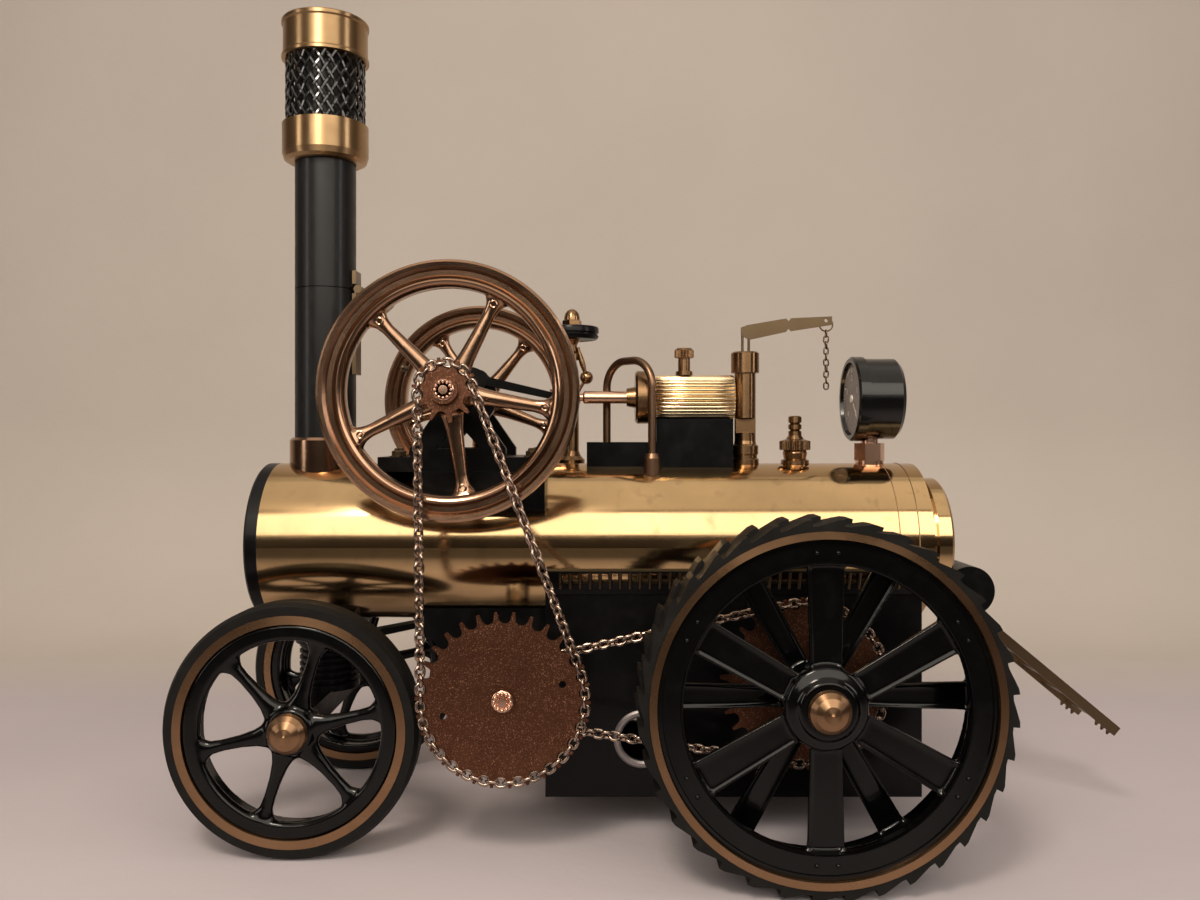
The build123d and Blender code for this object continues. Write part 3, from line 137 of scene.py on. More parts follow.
class LocomobileColours(bpy.types.PropertyGroup):
    """Colours of the finishes."""
    boiler: colour("Boiler brass", "Polished sheet brass of the boiler", (0.66, 0.45, 0.23))
    fittings: colour("Fitting brass", "Turned brass of the whistle, valve, oiler and governor", (0.29, 0.172, 0.088))
    chimney: colour("Chimney brass", "Brushed brass of the chimney's cup and crown", (0.43, 0.28, 0.145))
    copper: colour("Cast copper", "Cast flywheels and the chimney's foot", (0.46, 0.28, 0.18))
    jacket: colour("Jacket", "Fluted jacket of the cylinder", (0.95, 0.76, 0.5))
    trim: colour("Trim rings", "Rings and hub caps of the wheels", (0.34, 0.2, 0.11))
    bronze: colour("Aged bronze", "Whistle's lever, hinge, nuts and the rear arm", (0.17, 0.118, 0.07))
    sprocket: colour("Sprockets", "Speckled plating of the toothed plates", (0.15, 0.065, 0.037))
    chain: colour("Chain", "Wire of the drive chains", (0.5, 0.38, 0.31))
    paint: colour("Black paint", "Paint of the wheels, the firebox and the engine's bed", (0.0025, 0.0025, 0.0028))
    rubber: colour("Rubber", "Tyres of all four wheels", (0.006, 0.0055, 0.005))
    dial: colour("Dial", "Face of the gauge", (0.2, 0.17, 0.16))
    ink: colour("Dial marks", "Scale, numbers and needle of the gauge", (0.7, 0.66, 0.6))
    glass: colour("Sight glass", "Glass in the boiler's rear cap", (0.05, 0.02, 0.008))
    bright_copper: colour("Bright copper", "Piston guide, gauge's stem and the shafts' nuts", (0.8, 0.5, 0.36))
    pipe: colour("Steam pipe", "Pipe into the cylinder's cover", (0.22, 0.13, 0.08))
    steel: colour("Steel", "Axle and shafts", (0.45, 0.4, 0.37))
    port: colour("Port rings", "Rings round the firebox's ports", (0.42, 0.38, 0.38))


class LocomobileChains(bpy.types.PropertyGroup):
    """Sizes of the drive chains and of the whistle's chain."""
    wire: length("Wire", "Diameter of the wire of a drive link", 1.15)
    link_length: length("Link length", "Outside length of a drive link", 4.9)
    link_width: length("Link width", "Outside width of a drive link", 3.9)
    seat_roll: angle("Roll on a sprocket", "How far the links lean on the teeth", 14)
    strand_roll: angle("Roll on a strand", "How far the links twist between the sprockets", 32)
    whistle_wire: length("Whistle wire", "Diameter of the wire of a link under the whistle's lever", 0.6)
    whistle_pitch: length("Whistle pitch", "Distance from link to link under the whistle's lever", 2.2)


class LocomobileWheels(bpy.types.PropertyGroup):
    """Places and sizes of the spokes."""
    left_flywheel_turn: angle("Left flywheel", "Angle of its first spoke", 189.5)
    right_flywheel_turn: angle("Right flywheel", "Angle of its first spoke", 201)
    front_turn: angle("Front wheels", "Angle of their first spoke", 47.7)
    rear_turn: angle("Rear wheels", "Angle of their first outer spoke", 30)
    voxel: length("Casting grain", "Size of the grid that melts a casting into one surface", 0.5)
    softening: IntProperty(name="Softening", description="Rounds that soften a casting's fillets", default=12, min=0)
    strap_edge: share("Strap edge", "Width of a strap's raised edge, as a share of its half width", 0.14)


class LocomobileFittings(bpy.types.PropertyGroup):
    """Counts and sizes of the small fittings."""
    strands: IntProperty(name="Mesh strands", description="Strands each way in the chimney's mesh", default=24, min=3)
    strand_width: length("Strand width", "Width of a flat strand of the mesh", 1.3)
    strand_sweep: angle("Strand sweep", "How far a strand winds round the mesh", 60)
    jacket_ribs: IntProperty(name="Jacket ribs", description="Round ribs on the cylinder's jacket", default=30, min=6)
    rib_depth: length("Rib depth", "Depth of the grooves between the jacket's ribs", 0.95)
    dial_ticks: IntProperty(name="Dial ticks", description="Steps of the gauge's scale", default=40, min=10)
    vent_rib: length("Vent rib", "Width of the round ribs on the firebox's slotted flange", 1.1)


class LocomobileStage(bpy.types.PropertyGroup):
    """Floor, wall, lamps and camera."""
    wall: colour("Wall", "Plain wall behind the model", (0.57, 0.517, 0.474))
    floor: colour("Floor", "Pale paper under the model", (0.5, 0.455, 0.48))
    # painted shade: the dark end stands in for the unlit room in front of the model, seen in the metal's and the
    # gloss paint's reflections
    dark: colour("Dark end", "End of the floor, well in front of the model", (0.035, 0.031, 0.03))
    lamp: power("Lamp", "Small warm lamp, high in front", 3.4)
    ceiling: power("Ceiling", "Wide light overhead", 2.8)
    front: power("Front light", "Broad light that draws the boiler's bright band", 5.2)
    window: power("Window", "Tall narrow light on the right", 0.9)
    doorway: power("Doorway", "Tall narrow light on the left", 0.8)
    room: FloatProperty(name="Room", description="Strength of the room's own light", default=0.55, min=0)
    lens: FloatProperty(name="Lens", description="Focal length of the camera in millimetres", default=30, min=1)


# ---------------------------------------------------------------- shader nodes
class Graph:
    """Adds texture nodes to a material or to a node group; a value may be a plain number or another node's output."""

    def __init__(self, tree):
        self.tree = tree

    def node(self, kind, inputs=(), **settings):
        """New node with its settings, and its inputs set or linked by name or number."""
        node = self.tree.nodes.new("ShaderNode" + kind)
        for key, value in settings.items():
            setattr(node, key, value)
        for key, value in dict(inputs).items():
            if isinstance(value, bpy.types.NodeSocket):
                self.tree.links.new(value, node.inputs[key])
            else:
                node.inputs[key].default_value = value
        return node

    def noise(self, place, scale, detail=4.0, roughness=0.55, stretch=EVEN):
        """Noise from 0 to 1; scale counts features for each metre."""
        mapping = self.node("Mapping", {"Vector": place, "Scale": stretch})
        return self.node("TexNoise", {"Vector": mapping.outputs["Vector"], "Scale": scale, "Detail": detail,
                                      "Roughness": roughness}).outputs["Fac"]

    def range(self, value, low, high, start=0.3, end=0.7):
        """Map value from start..end to low..high."""
        return self.node("MapRange", {"Value": value, "From Min": start, "From Max": end, "To Min": low,
                                      "To Max": high}).outputs["Result"]

    def mix(self, value, first, second):
        """Blend two colours by value."""
        inputs = {0: value, 6: rgba(first), 7: rgba(second)}
        return self.node("Mix", inputs, data_type="RGBA").outputs[2]

    def math(self, operation, *values):
        """Sum, product and the like of plain numbers or outputs."""
        return self.node("Math", dict(enumerate(values)), operation=operation).outputs["Value"]


def rgba(value):
    """A colour with its alpha; a node's output stays as it is."""
    return value if isinstance(value, bpy.types.NodeSocket) else (*value, 1.0)


def toned(color, share, lift=0.0):
    """A colour times a share, lifted by a little grey and kept under 1."""
    return tuple(min(1.0, channel * share + lift) for channel in color)


def node_group(name, inputs, outputs, fill):
    """Node group with named sockets; fill takes the graph and its inputs and returns one value for each output."""
    group = bpy.data.node_groups.new(name, "ShaderNodeTree")
    for title, kind in inputs.items():
        group.interface.new_socket(name=title, in_out="INPUT", socket_type="NodeSocket" + kind)
    for title, kind in outputs.items():
        group.interface.new_socket(name=title, in_out="OUTPUT", socket_type="NodeSocket" + kind)
    entry = group.nodes.new("NodeGroupInput").outputs
    leave = group.nodes.new("NodeGroupOutput").inputs
    for title, value in zip(outputs, fill(Graph(group), entry)):
        group.links.new(value, leave[title])
    return group


def fill_tarnish(graph, entry):
    """Clouds of dull metal over bright metal; the same clouds roughen it."""
    cloud = graph.noise(entry["Place"], entry["Scale"], 5, 0.6)
    tone = graph.mix(graph.range(cloud, 0.0, entry["Spread"], 0.35, 0.75), entry["Bright"], entry["Dull"])
    smooth = graph.math("MULTIPLY", entry["Roughness"], 0.8)
    worn = graph.math("MULTIPLY", entry["Roughness"], 1.4)
    return tone, graph.range(cloud, smooth, worn)


def fill_grain(graph, entry):
    """Fine noise drawn out by Stretch, as a height."""
    return [graph.noise(entry["Place"], entry["Scale"], 3, 0.6, entry["Stretch"])]


def fill_dust(graph, entry):
    """Settled dust: lighter patches that are also rougher."""
    patch = graph.noise(entry["Place"], entry["Scale"], 5, 0.65)
    tone = graph.mix(graph.range(patch, 0, 1, 0.5, 0.8), entry["Clean"], entry["Dusty"])
    smooth = graph.math("MULTIPLY", entry["Roughness"], 0.85)
    worn = graph.math("MULTIPLY", entry["Roughness"], 1.3)
    return tone, graph.range(patch, smooth, worn)


def fill_specks(graph, entry):
    """Small sharp specks, as a mask."""
    fine = graph.noise(entry["Place"], entry["Scale"], 2, 0.5)
    return [graph.range(fine, 0, 1, entry["Start"], entry["End"])]


class Finish:
    """A material: its own Principled shader, fed by the shared groups. made holds every finish by its name."""

    groups = {}
    made = {}

    def __init__(self, name, color, metallic, roughness, **settings):
        self.material = self.made[name] = bpy.data.materials.new(name)
        self.material.use_nodes = True
        self.tree = self.material.node_tree
        self.graph = Graph(self.tree)
        self.shader = self.tree.nodes["Principled BSDF"]
        values = {"Base_Color": (*color, 1), "Metallic": metallic, "Roughness": roughness, **settings}
        for key, value in values.items():
            self.shader.inputs[key.replace("_", " ")].default_value = value
        self.place = self.graph.node("TexCoord").outputs["Object"]
        self.normal = None

    def group(self, name, **inputs):
        """Place a shared group with this material's own values."""
        node = self.graph.node("Group", node_tree=self.groups[name])
        self.tree.links.new(self.place, node.inputs["Place"])
        for key, value in inputs.items():
            if isinstance(value, bpy.types.NodeSocket):
                self.tree.links.new(value, node.inputs[key])
            else:
                node.inputs[key].default_value = (*value, 1) if node.inputs[key].type == "RGBA" else value
        return node.outputs

    def set(self, socket, output):
        """Feed one of the shader's sockets."""
        self.tree.links.new(output, self.shader.inputs[socket])

    def cover(self, effect):
        """Take the colour and the roughness from one placed group."""
        self.set("Base Color", effect["Color"])
        self.set("Roughness", effect["Roughness"])

    def bump(self, height, depth, strength=1.0):
        """Add relief; depth is in millimetres."""
        inputs = {"Strength": strength, "Distance": depth * MM, "Height": height}
        if self.normal:
            inputs["Normal"] = self.normal
        self.normal = self.graph.node("Bump", inputs).outputs["Normal"]
        self.set("Normal", self.normal)

    def grain(self, scale, depth, stretch=EVEN, strength=1.0):
        """Add the shared grain as relief."""
        self.bump(self.group("grain", Scale=scale, Stretch=stretch)["Height"], depth, strength)

    def turned_on_lathe(self, axis, amount):
        """Stretch the highlights across the lathe's marks, which run round the axis."""
        quarter_turn = 0.25
        self.shader.inputs["Anisotropic"].default_value = amount
        self.shader.inputs["Anisotropic Rotation"].default_value = quarter_turn
        tangent = self.graph.node("Tangent", direction_type="RADIAL", axis=axis)
        self.set("Tangent", tangent.outputs["Tangent"])


def build_groups():
    """The four effects that the materials share."""
    Finish.groups = {
        "tarnish": node_group("tarnish", {
            "Place": "Vector", "Scale": "Float", "Bright": "Color", "Dull": "Color", "Spread": "Float",
            "Roughness": "Float"}, {"Color": "Color", "Roughness": "Float"}, fill_tarnish),
        "grain": node_group("grain", {"Place": "Vector", "Scale": "Float", "Stretch": "Vector"},
                            {"Height": "Float"}, fill_grain),
        "dust": node_group("dust", {
            "Place": "Vector", "Scale": "Float", "Clean": "Color", "Dusty": "Color", "Roughness": "Float"},
            {"Color": "Color", "Roughness": "Float"}, fill_dust),
        "specks": node_group("specks", {"Place": "Vector", "Scale": "Float", "Start": "Float", "End": "Float"},
                             {"Mask": "Float"}, fill_specks),
    }


def metal(name, bright, roughness, dull=0.55, brushed=EVEN, spread=0.5, ripple=0.0, lathe=None, scale=45.0):
    """Metal with cloudy tarnish and polishing lines; dull is the tarnish's share of the bright colour, brushed
    draws out the lines, ripple is the depth of its waves and lathe is its axis and the pull on its highlights."""
    finish = Finish(name, bright, 1.0, roughness)
    finish.cover(finish.group("tarnish", Scale=scale, Bright=bright, Dull=toned(bright, dull), Spread=spread,
                              Roughness=roughness))
    if ripple:
        finish.grain(120.0, ripple)
    finish.grain(900.0, 0.005, brushed)
    if lathe:
        finish.turned_on_lathe(*lathe)


def enamel(name, paint, roughness, level, coat, peel=0.006):
    """Black paint with orange peel, faint dust and a clear coat."""
    finish = Finish(name, paint, 0.0, roughness, Specular_IOR_Level=level, Coat_Weight=coat,
                    Coat_Roughness=roughness * 0.35)
    finish.cover(finish.group("dust", Scale=160.0, Clean=paint, Dusty=toned(paint, 1.8, 0.0012), Roughness=roughness))
    finish.grain(520.0, peel)


def rubber(name, tint, roughness=0.55):
    """Matt black rubber with dusty patches and a fine grain."""
    finish = Finish(name, tint, 0.0, roughness, Specular_IOR_Level=0.18)
    finish.cover(finish.group("dust", Scale=90.0, Clean=tint, Dusty=toned(tint, 2.2), Roughness=roughness))
    finish.grain(1400.0, 0.02)


def speckled_metal(name, base):
    """Aged bronze plating with fine light specks and dark stains."""
    finish = Finish(name, base, 1.0, 0.4)
    stain = finish.group("tarnish", Scale=70.0, Bright=base, Dull=toned(base, 0.5), Spread=1.0, Roughness=0.38)
    speck = finish.group("specks", Scale=3000.0, Start=0.6, End=0.72)["Mask"]
    finish.set("Base Color", finish.graph.mix(speck, stain["Color"], toned(base, 3.4, 0.05)))
    finish.set("Roughness", stain["Roughness"])
    finish.bump(speck, 0.012)
    finish.grain(500.0, 0.03)


def boiler_metal(name, brass, roughness=0.12):
    """Polished sheet brass: long faint ripples, hazy patches and dark water marks."""
    finish = Finish(name, brass, 1.0, roughness)
    haze = finish.group("tarnish", Scale=26.0, Bright=brass, Dull=toned(brass, 0.72), Spread=1.0,
                        Roughness=roughness)
    marks = finish.group("specks", Scale=150.0, Start=0.6, End=0.85)["Mask"]
    finish.set("Base Color", finish.graph.mix(marks, haze["Color"], toned(brass, 0.6)))
    finish.set("Roughness", haze["Roughness"])
    finish.grain(16.0, 0.1, (0.7, 1, 2.2), 0.6)
    finish.grain(700.0, 0.004, (0.06, 1, 1))


def dial_metal(name, tint):
    """Faintly clouded dial face."""
    finish = Finish(name, tint, 0.1, 0.45)
    finish.cover(finish.group("dust", Scale=200.0, Clean=tint, Dusty=toned(tint, 0.8), Roughness=0.42))


def sight_glass_finish(name, tint, roughness=0.04):
    """Smooth dark glass with faint clouds."""
    finish = Finish(name, tint, 0.0, roughness, Coat_Weight=1.0, Coat_Roughness=roughness / 2)
    cloud = finish.group("dust", Scale=300.0, Clean=tint, Dusty=toned(tint, 2), Roughness=roughness)
    finish.set("Base Color", cloud["Color"])


# ---------------------------------------------------------------- surfaces
def around(steps, start=0.0):
    """Evenly spaced angles of a full turn."""
    return start + np.arange(steps) * 2 * pi / steps


def stacked(*parts):
    """Join coordinate arrays into points, each spread to the shape of all."""
    return np.stack(np.broadcast_arrays(*parts), axis=-1)


def turned(profile, steps=48, start=0.0):
    """Surface of revolution: (r cos t, r sin t, h) for every (r, h) of the profile and every angle t."""
    r, h = np.asarray(profile, float).T[:, :, None]
    t = around(steps, start)
    return stacked(r * np.cos(t), r * np.sin(t), h)


def ball(radius, steps=20, rings=12):
    """Sphere: a half circle of angle p from pole to pole, turned; r sin p out and -r cos p up."""
    p = np.linspace(0, pi, rings + 1)
    return turned(np.stack([radius * np.sin(p), -radius * np.cos(p)], axis=1), steps)


def nut(radius, low, high, sides=6, start=0.0, chamfer=0.25):
    """Prism: a turned profile with as few steps as sides, drawn in by a chamfer at its far end."""
    return turned([(radius, low), (radius, high - chamfer), (radius - chamfer, high)], sides, start)


def placed(grid, centre, axis=(0, 0, 1)):
    """Stand a grid on an axis: centre + x across + y (axis x across) + z axis."""
    axis = np.asarray(axis, float) / np.linalg.norm(axis)
    across = np.array((1.0, 0, 0)) if abs(axis[2]) > 0.99 else np.cross(axis, (0, 0, 1))
    across = across / np.linalg.norm(across)
    return grid @ np.stack([across, np.cross(axis, across), axis]) + np.asarray(centre, float)


def on_wheel(grid, centre, side):
    """Lay a wheel's own (across, up, outwards) on its side of the model: (x, side z, y) from the centre."""
    return grid[..., [0, 2, 1]] * (1, side, 1) + np.asarray(centre, float)


def spun(grid, angles):
    """One copy of (out, across, w) for each angle a: (out cos a - across sin a, out sin a + across cos a, w)."""
    a = np.asarray(angles).reshape(-1, *[1] * (grid.ndim - 1))
    out, across, w = np.moveaxis(grid, -1, 0)
    return stacked(out * np.cos(a) - across * np.sin(a), out * np.sin(a) + across * np.cos(a), w)


def copies(grid, centres):
    """The same grid at every centre."""
    centres = np.asarray(centres, float)
    return grid + centres.reshape(-1, *[1] * (grid.ndim - 1), 3)


def oval_spoke(reaches, flat=1.0, steps=14):
    """Rings of a spoke: (radius, a |cos t|^flat, offset + b sin t) for each (radius, a, b, offset)."""
    radius, wide, deep, offset = np.asarray(reaches, float).T[:, :, None]
    t = around(steps)
    return stacked(radius, wide * np.sign(np.cos(t)) * np.abs(np.cos(t)) ** flat, offset + deep * np.sin(t))


def strap(inner, outer, root, tip, low, high, edge, lip=0.9):
    """Flat tapered bar and its two raised edges: boxes between k = -1 and 1 times the half width at each radius."""
    radius = np.array([inner, outer, outer, inner])
    half = np.array([root, tip, tip, root]) / 2
    left = np.array([-1, -1, 1 - edge])[:, None, None]
    right = np.array([1, edge - 1, 1])[:, None, None]
    across = half * np.where([True, True, False, False], left, right)
    level = np.stack([np.full(3, low), np.array([high, high + lip, high + lip])], axis=1)[:, :, None]
    return stacked(radius, across, level)


def wire_loop(path, radius, sides=8):
    """Closed bar in its own plane: path + outward r cos s, and r sin s off the plane; outward is the direction
    of the path turned by a quarter."""
    along = np.roll(path, -1, axis=0) - np.roll(path, 1, axis=0)
    along = along / np.linalg.norm(along, axis=1, keepdims=True)
    s = around(sides)
    a = path[:, :1] + along[:, 1:] * radius * np.cos(s)
    b = path[:, 1:] - along[:, :1] * radius * np.cos(s)
    return stacked(a, b, radius * np.sin(s))


def oval_link(long, wide, wire, steps=9, sides=8):
    """Wire bent to an oval: two half circles set apart by the straights, at (straight + bend cos t, bend sin t)."""
    straight, bend = (long - wide) / 2, (wide - wire) / 2
    t = np.linspace(-pi / 2, pi / 2, steps)
    end = np.array([[1], [-1]])
    path = np.stack([(end * (straight + bend * np.cos(t))).ravel(), (end * bend * np.sin(t)).ravel()], axis=1)
    return wire_loop(path, wire / 2, sides)


def threaded(grid, centres, along, roll):
    """Copies of a link at its centres: x runs along, and z is the side direction rolled about it.

    The headings lie in the upright plane, so the side is y: normal = y cos roll + (along x y) sin roll.
    """
    level = np.stack([-along[:, 2], 0 * roll, along[:, 0]], axis=1)
    normal = np.array((0, 1.0, 0)) * np.cos(roll)[:, None] + level * np.sin(roll)[:, None]
    axes = np.stack([along, np.cross(normal, along), normal], axis=1)
    return grid @ axes[:, None] + np.asarray(centres)[:, None, None]


class Belt:
    """Pitch line round two sprockets: arc, strand, arc, strand. Each stretch blends its centre, radius and angle
    from end to end, so its points are centre + radius (cos angle, sin angle)."""

    def __init__(self, small, large):
        small, large = small[[0, 2]], large[[0, 2]]
        apart = large - small
        span = np.hypot(*apart)
        heading = np.arctan2(apart[1], apart[0])
        lean = np.arcsin((LARGE_PITCH - SMALL_PITCH) / span)
        strand = span * np.cos(lean)
        near, far = heading - pi / 2 - lean, heading + pi / 2 + lean
        self.runs = np.array([LARGE_PITCH * (pi + 2 * lean), strand, SMALL_PITCH * (pi - 2 * lean), strand])
        self.centres = np.array([[large, large], [large, small], [small, small], [small, large]])
        self.radii = np.array([[LARGE_PITCH, LARGE_PITCH], [LARGE_PITCH, SMALL_PITCH], [SMALL_PITCH, SMALL_PITCH],
                               [SMALL_PITCH, LARGE_PITCH]])
        self.angles = np.array([[near, far], [far, far], [far, near + 2 * pi], [near + 2 * pi, near + 2 * pi]])
        self.length = self.runs.sum()

    def at(self, distance):
        """Points (x, z), headings and how free of the teeth each is, from 0 to 1."""
        left = (distance + self.runs[0] / 2) % self.length
        ends = np.cumsum(self.runs)
        run = np.minimum(np.searchsorted(ends, left, side="right"), 3)
        part = (left - (ends - self.runs)[run]) / self.runs[run]
        a, r, c = [value[run, 0] + (value[run, 1] - value[run, 0]) * (part[:, None] if value.ndim == 3 else part)
                   for value in (self.angles, self.radii, self.centres)]
        points = c + r[:, None] * np.stack([np.cos(a), np.sin(a)], axis=1)
        free = np.where(run % 2 == 1, np.clip(5 * np.minimum(part, 1 - part), 0, 1), 0)
        return points, a + pi / 2, free


class Surface:
    """Grids of points gathered in millimetres and turned into one mesh in metres."""

    def __init__(self):
        self.points, self.faces, self.count = [], [], 0

    def skin(self, grid, closed=False, sheet=False):
        """Quads (i, j), (i, j+1), (i+1, j+1), (i+1, j) of each [..., i, j] grid. Rows run round unless it is a
        sheet; closed joins the last row to the first, and open tubes are shut at the middle of their end rows."""
        grid = np.asarray(grid, float)
        if not closed and not sheet:
            first, last = grid[..., :1, :, :], grid[..., -1:, :, :]
            grid = np.concatenate([0 * first + first.mean(axis=-2, keepdims=True), grid,
                                   0 * last + last.mean(axis=-2, keepdims=True)], axis=-3)
        rows, width = grid.shape[-3:-1]
        grid = grid.reshape(-1, rows, width, 3)
        i, j = np.meshgrid(np.arange(rows if closed else rows - 1), np.arange(width - 1 if sheet else width),
                           indexing="ij")
        i, j = i.ravel(), j.ravel()
        below, right = (i + 1) % rows, (j + 1) % width
        cell = np.stack([i * width + j, i * width + right, below * width + right, below * width + j], axis=1)
        starts = self.count + np.arange(len(grid)) * rows * width
        self.points.append(grid.reshape(-1, 3))
        self.faces.append((cell + starts[:, None, None]).reshape(-1, 4))
        self.count += grid.size // 3
        return self

    def mesh(self, name):
        """One mesh with doubled points merged and faces turned outwards."""
        mesh = bpy.data.meshes.new(name)
        mesh.from_pydata((np.concatenate(self.points) * MM).tolist(), [], np.concatenate(self.faces).tolist())
        work = bmesh.new()
        work.from_mesh(mesh)
        bmesh.ops.remove_doubles(work, verts=work.verts, dist=1e-6)
        bmesh.ops.recalc_face_normals(work, faces=work.faces)
        work.to_mesh(mesh)
        work.free()
        return mesh

    def piece(self, name, material, body, slot, sharp=38, replaces=()):
        """Finish the surfaces as they are."""
        finished(name, self.mesh(name), material, body, sharp, replaces)

    def cast(self, name, material, body, slot, wheels, replaces=()):
        """Melt the overlapping surfaces into one casting: a voxel skin, then rounds of smoothing."""
        mesh = self.mesh(name)
        mould = linked(name + "_mould", mesh)
        melt = mould.modifiers.new("melt", "REMESH")
        melt.mode = "VOXEL"
        melt.voxel_size = wheels.voxel
        soften = mould.modifiers.new("soften", "SMOOTH")
        soften.iterations = wheels.softening
        soften.factor = 0.5
        result = evaluated_mesh(mould)
        result.name = name
        bpy.data.objects.remove(mould)
        bpy.data.meshes.remove(mesh)
        finished(name, result, material, body, 80, replaces)


class WheelSurface(Surface):
    """Surfaces given in a wheel's own frame and laid on its side of the model."""

    def __init__(self, centre, side):
        super().__init__()
        self.centre, self.side = centre, side

    def ring(self, section, steps):
        """A closed section of (radius, outwards) turned round the axle."""
        return self.skin(on_wheel(turned(section, steps), self.centre, self.side), closed=True)

    def spread(self, grid, angles, closed=False):
        """One copy of a grid at each angle round the axle."""
        return self.skin(on_wheel(spun(grid, angles), self.centre, self.side), closed)


def finished(name, mesh, material, body, sharp=38, replaces=()):
    """Give a mesh its material, soft shading with sharp corners and its body."""
    mesh.materials.clear()
    mesh.materials.append(Finish.made[material])
    mesh.shade_smooth()
    mesh.set_sharp_from_angle(angle=radians(sharp))
    piece = linked(name, mesh)
    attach(piece, body)
    if replaces:
        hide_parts(*replaces)


# ---------------------------------------------------------------- pieces
NODE_FINISHES = {
    "boiler_brass": ("boiler_shell", "boiler_rear_cap"),
    "satin_black": (
        "smokebox_front", "firebox", "layshaft_frame", "front_saddle", "front_carriage", "crank_disc", "engine_bed",
        "crank_pedestals", "connecting_rod", "cylinder_block", "arm_bracket"),
    "port_steel": ("port_rings",),
    "turned_steel": ("rear_axle", "layshaft", "crankshaft"),
    "trim_bronze": ("rear_trim", "front_trim_left", "front_trim_right"),
    "chain_steel": ("drive_chain_first", "drive_chain_second"),
    "sprocket_bronze": ("layshaft_large_sprocket", "layshaft_small_sprocket", "rear_sprocket", "crank_sprocket"),
    "cast_copper": ("flywheel_left", "flywheel_right", "chimney_foot"),
    "jacket_gilt": ("cylinder_jacket",),
    "fitting_brass": ("cylinder_cover", "oiler", "governor_column", "governor_head", "whistle", "safety_valve"),
    "bright_copper": ("piston_guide", "gauge_stem"),
    "pipe_bronze": ("steam_pipe",),
    "aged_bronze": ("whistle_lever", "whistle_chain", "hinge_lower", "hinge_upper", "rear_arm"),
    "gauge_black": ("gauge_case",),
    "dial_face": ("gauge_dial",),
    "chimney_black": ("chimney_lower", "chimney_upper"),
    "chimney_brass": ("chimney_cup", "chimney_crown"),
    "mesh_black": ("chimney_cage",),
    "gloss_black": ("front_wheel_left", "front_wheel_right", "rear_wheel_left", "rear_wheel_right"),
    "tyre_rubber": ("front_tyre_left", "front_tyre_right", "rear_tyre_left", "rear_tyre_right"),
}


class LOCOMOBILE_OT_finishes(bpy.types.Operator):
    """Make the materials and give every node of the frame its own"""
    bl_idname = "locomobile.finishes"
    bl_label = "Finishes"

    def execute(self, context):
        hues = context.scene.locomobile_colours
        build_groups()
        boiler_metal("boiler_brass", hues.boiler)
        metal("fitting_brass", hues.fittings, 0.24, lathe=("Z", 0.7))
        metal("chimney_brass", hues.chimney, 0.3, 0.7, brushed=(1, 1, 0.06), spread=0.4, lathe=("Z", 0.85))
        metal("aged_bronze", hues.bronze, 0.3, 0.5, ripple=0.02)
        metal("trim_bronze", hues.trim, 0.26, 0.6, lathe=("Y", 0.75))
        metal("cast_copper", hues.copper, 0.17, 0.5, spread=0.9, ripple=0.045)
        metal("bright_copper", hues.bright_copper, 0.2, 0.7)
        metal("jacket_gilt", hues.jacket, 0.17, 0.72, brushed=(0.1, 1, 1))
        metal("pipe_bronze", hues.pipe, 0.3)
        metal("turned_steel", hues.steel, 0.28)
        metal("port_steel", hues.port, 0.4)
        metal("chain_steel", hues.chain, 0.2, 0.35, spread=1.0, scale=150.0)
        speckled_metal("sprocket_bronze", hues.sprocket)
        enamel("satin_black", hues.paint, 0.32, 0.14, 0.1)
        enamel("chimney_black", toned(hues.paint, 1.6), 0.38, 0.3, 0.1)
        enamel("gloss_black", toned(hues.paint, 0.5), 0.16, 0.2, 0.2, 0.001)
        enamel("gauge_black", hues.paint, 0.22, 0.3, 0.4, 0.002)
        enamel("mesh_black", hues.paint, 0.2, 0.4, 0.9)
        rubber("tyre_rubber", hues.rubber)
        dial_metal("dial_face", hues.dial)
        dial_metal("dial_ink", hues.ink)
        sight_glass_finish("sight_glass", hues.glass)
        for material, names in NODE_FINISHES.items():
            for name in names:
                nodes[name].data.materials.clear()
                nodes[name].data.materials.append(Finish.made[material])
        return {"FINISHED"}


def drive_chain(node, small, large, chains):
    """Oval links, two for each tooth: side-on and flat in turn, with a lazy twist between the sprockets."""
    belt = Belt(small, large)
    count = 2 * round(belt.length / TOOTH_PITCH)
    half = np.arange(count)
    points, heading, free = belt.at(half * belt.length / count)
    sway = 0.12 * np.sin(half * 2.3)
    roll = pi / 2 * (half % 2) + chains.seat_roll + (chains.strand_roll + sway) * free
    centres = stacked(points[:, 0], middle(node)[1], points[:, 1])
    along = stacked(np.cos(heading), 0.0, np.sin(heading))
    link = oval_link(chains.link_length / MM, chains.link_width / MM, chains.wire / MM)
    Surface().skin(threaded(link, centres, along, roll), closed=True).piece(
        node, "chain_steel", "engine", "bronze", 60, (node,))


class LOCOMOBILE_OT_drive_chains(bpy.types.Operator):
    """Lay both drive chains round their sprockets, link by link"""
    bl_idname = "locomobile.drive_chains"
    bl_label = "Drive chains"

    def execute(self, context):
        chains = context.scene.locomobile_chains
        drive_chain("drive_chain_first", CRANK, LAYSHAFT, chains)
        drive_chain("drive_chain_second", LAYSHAFT, REAR, chains)
        return {"FINISHED"}


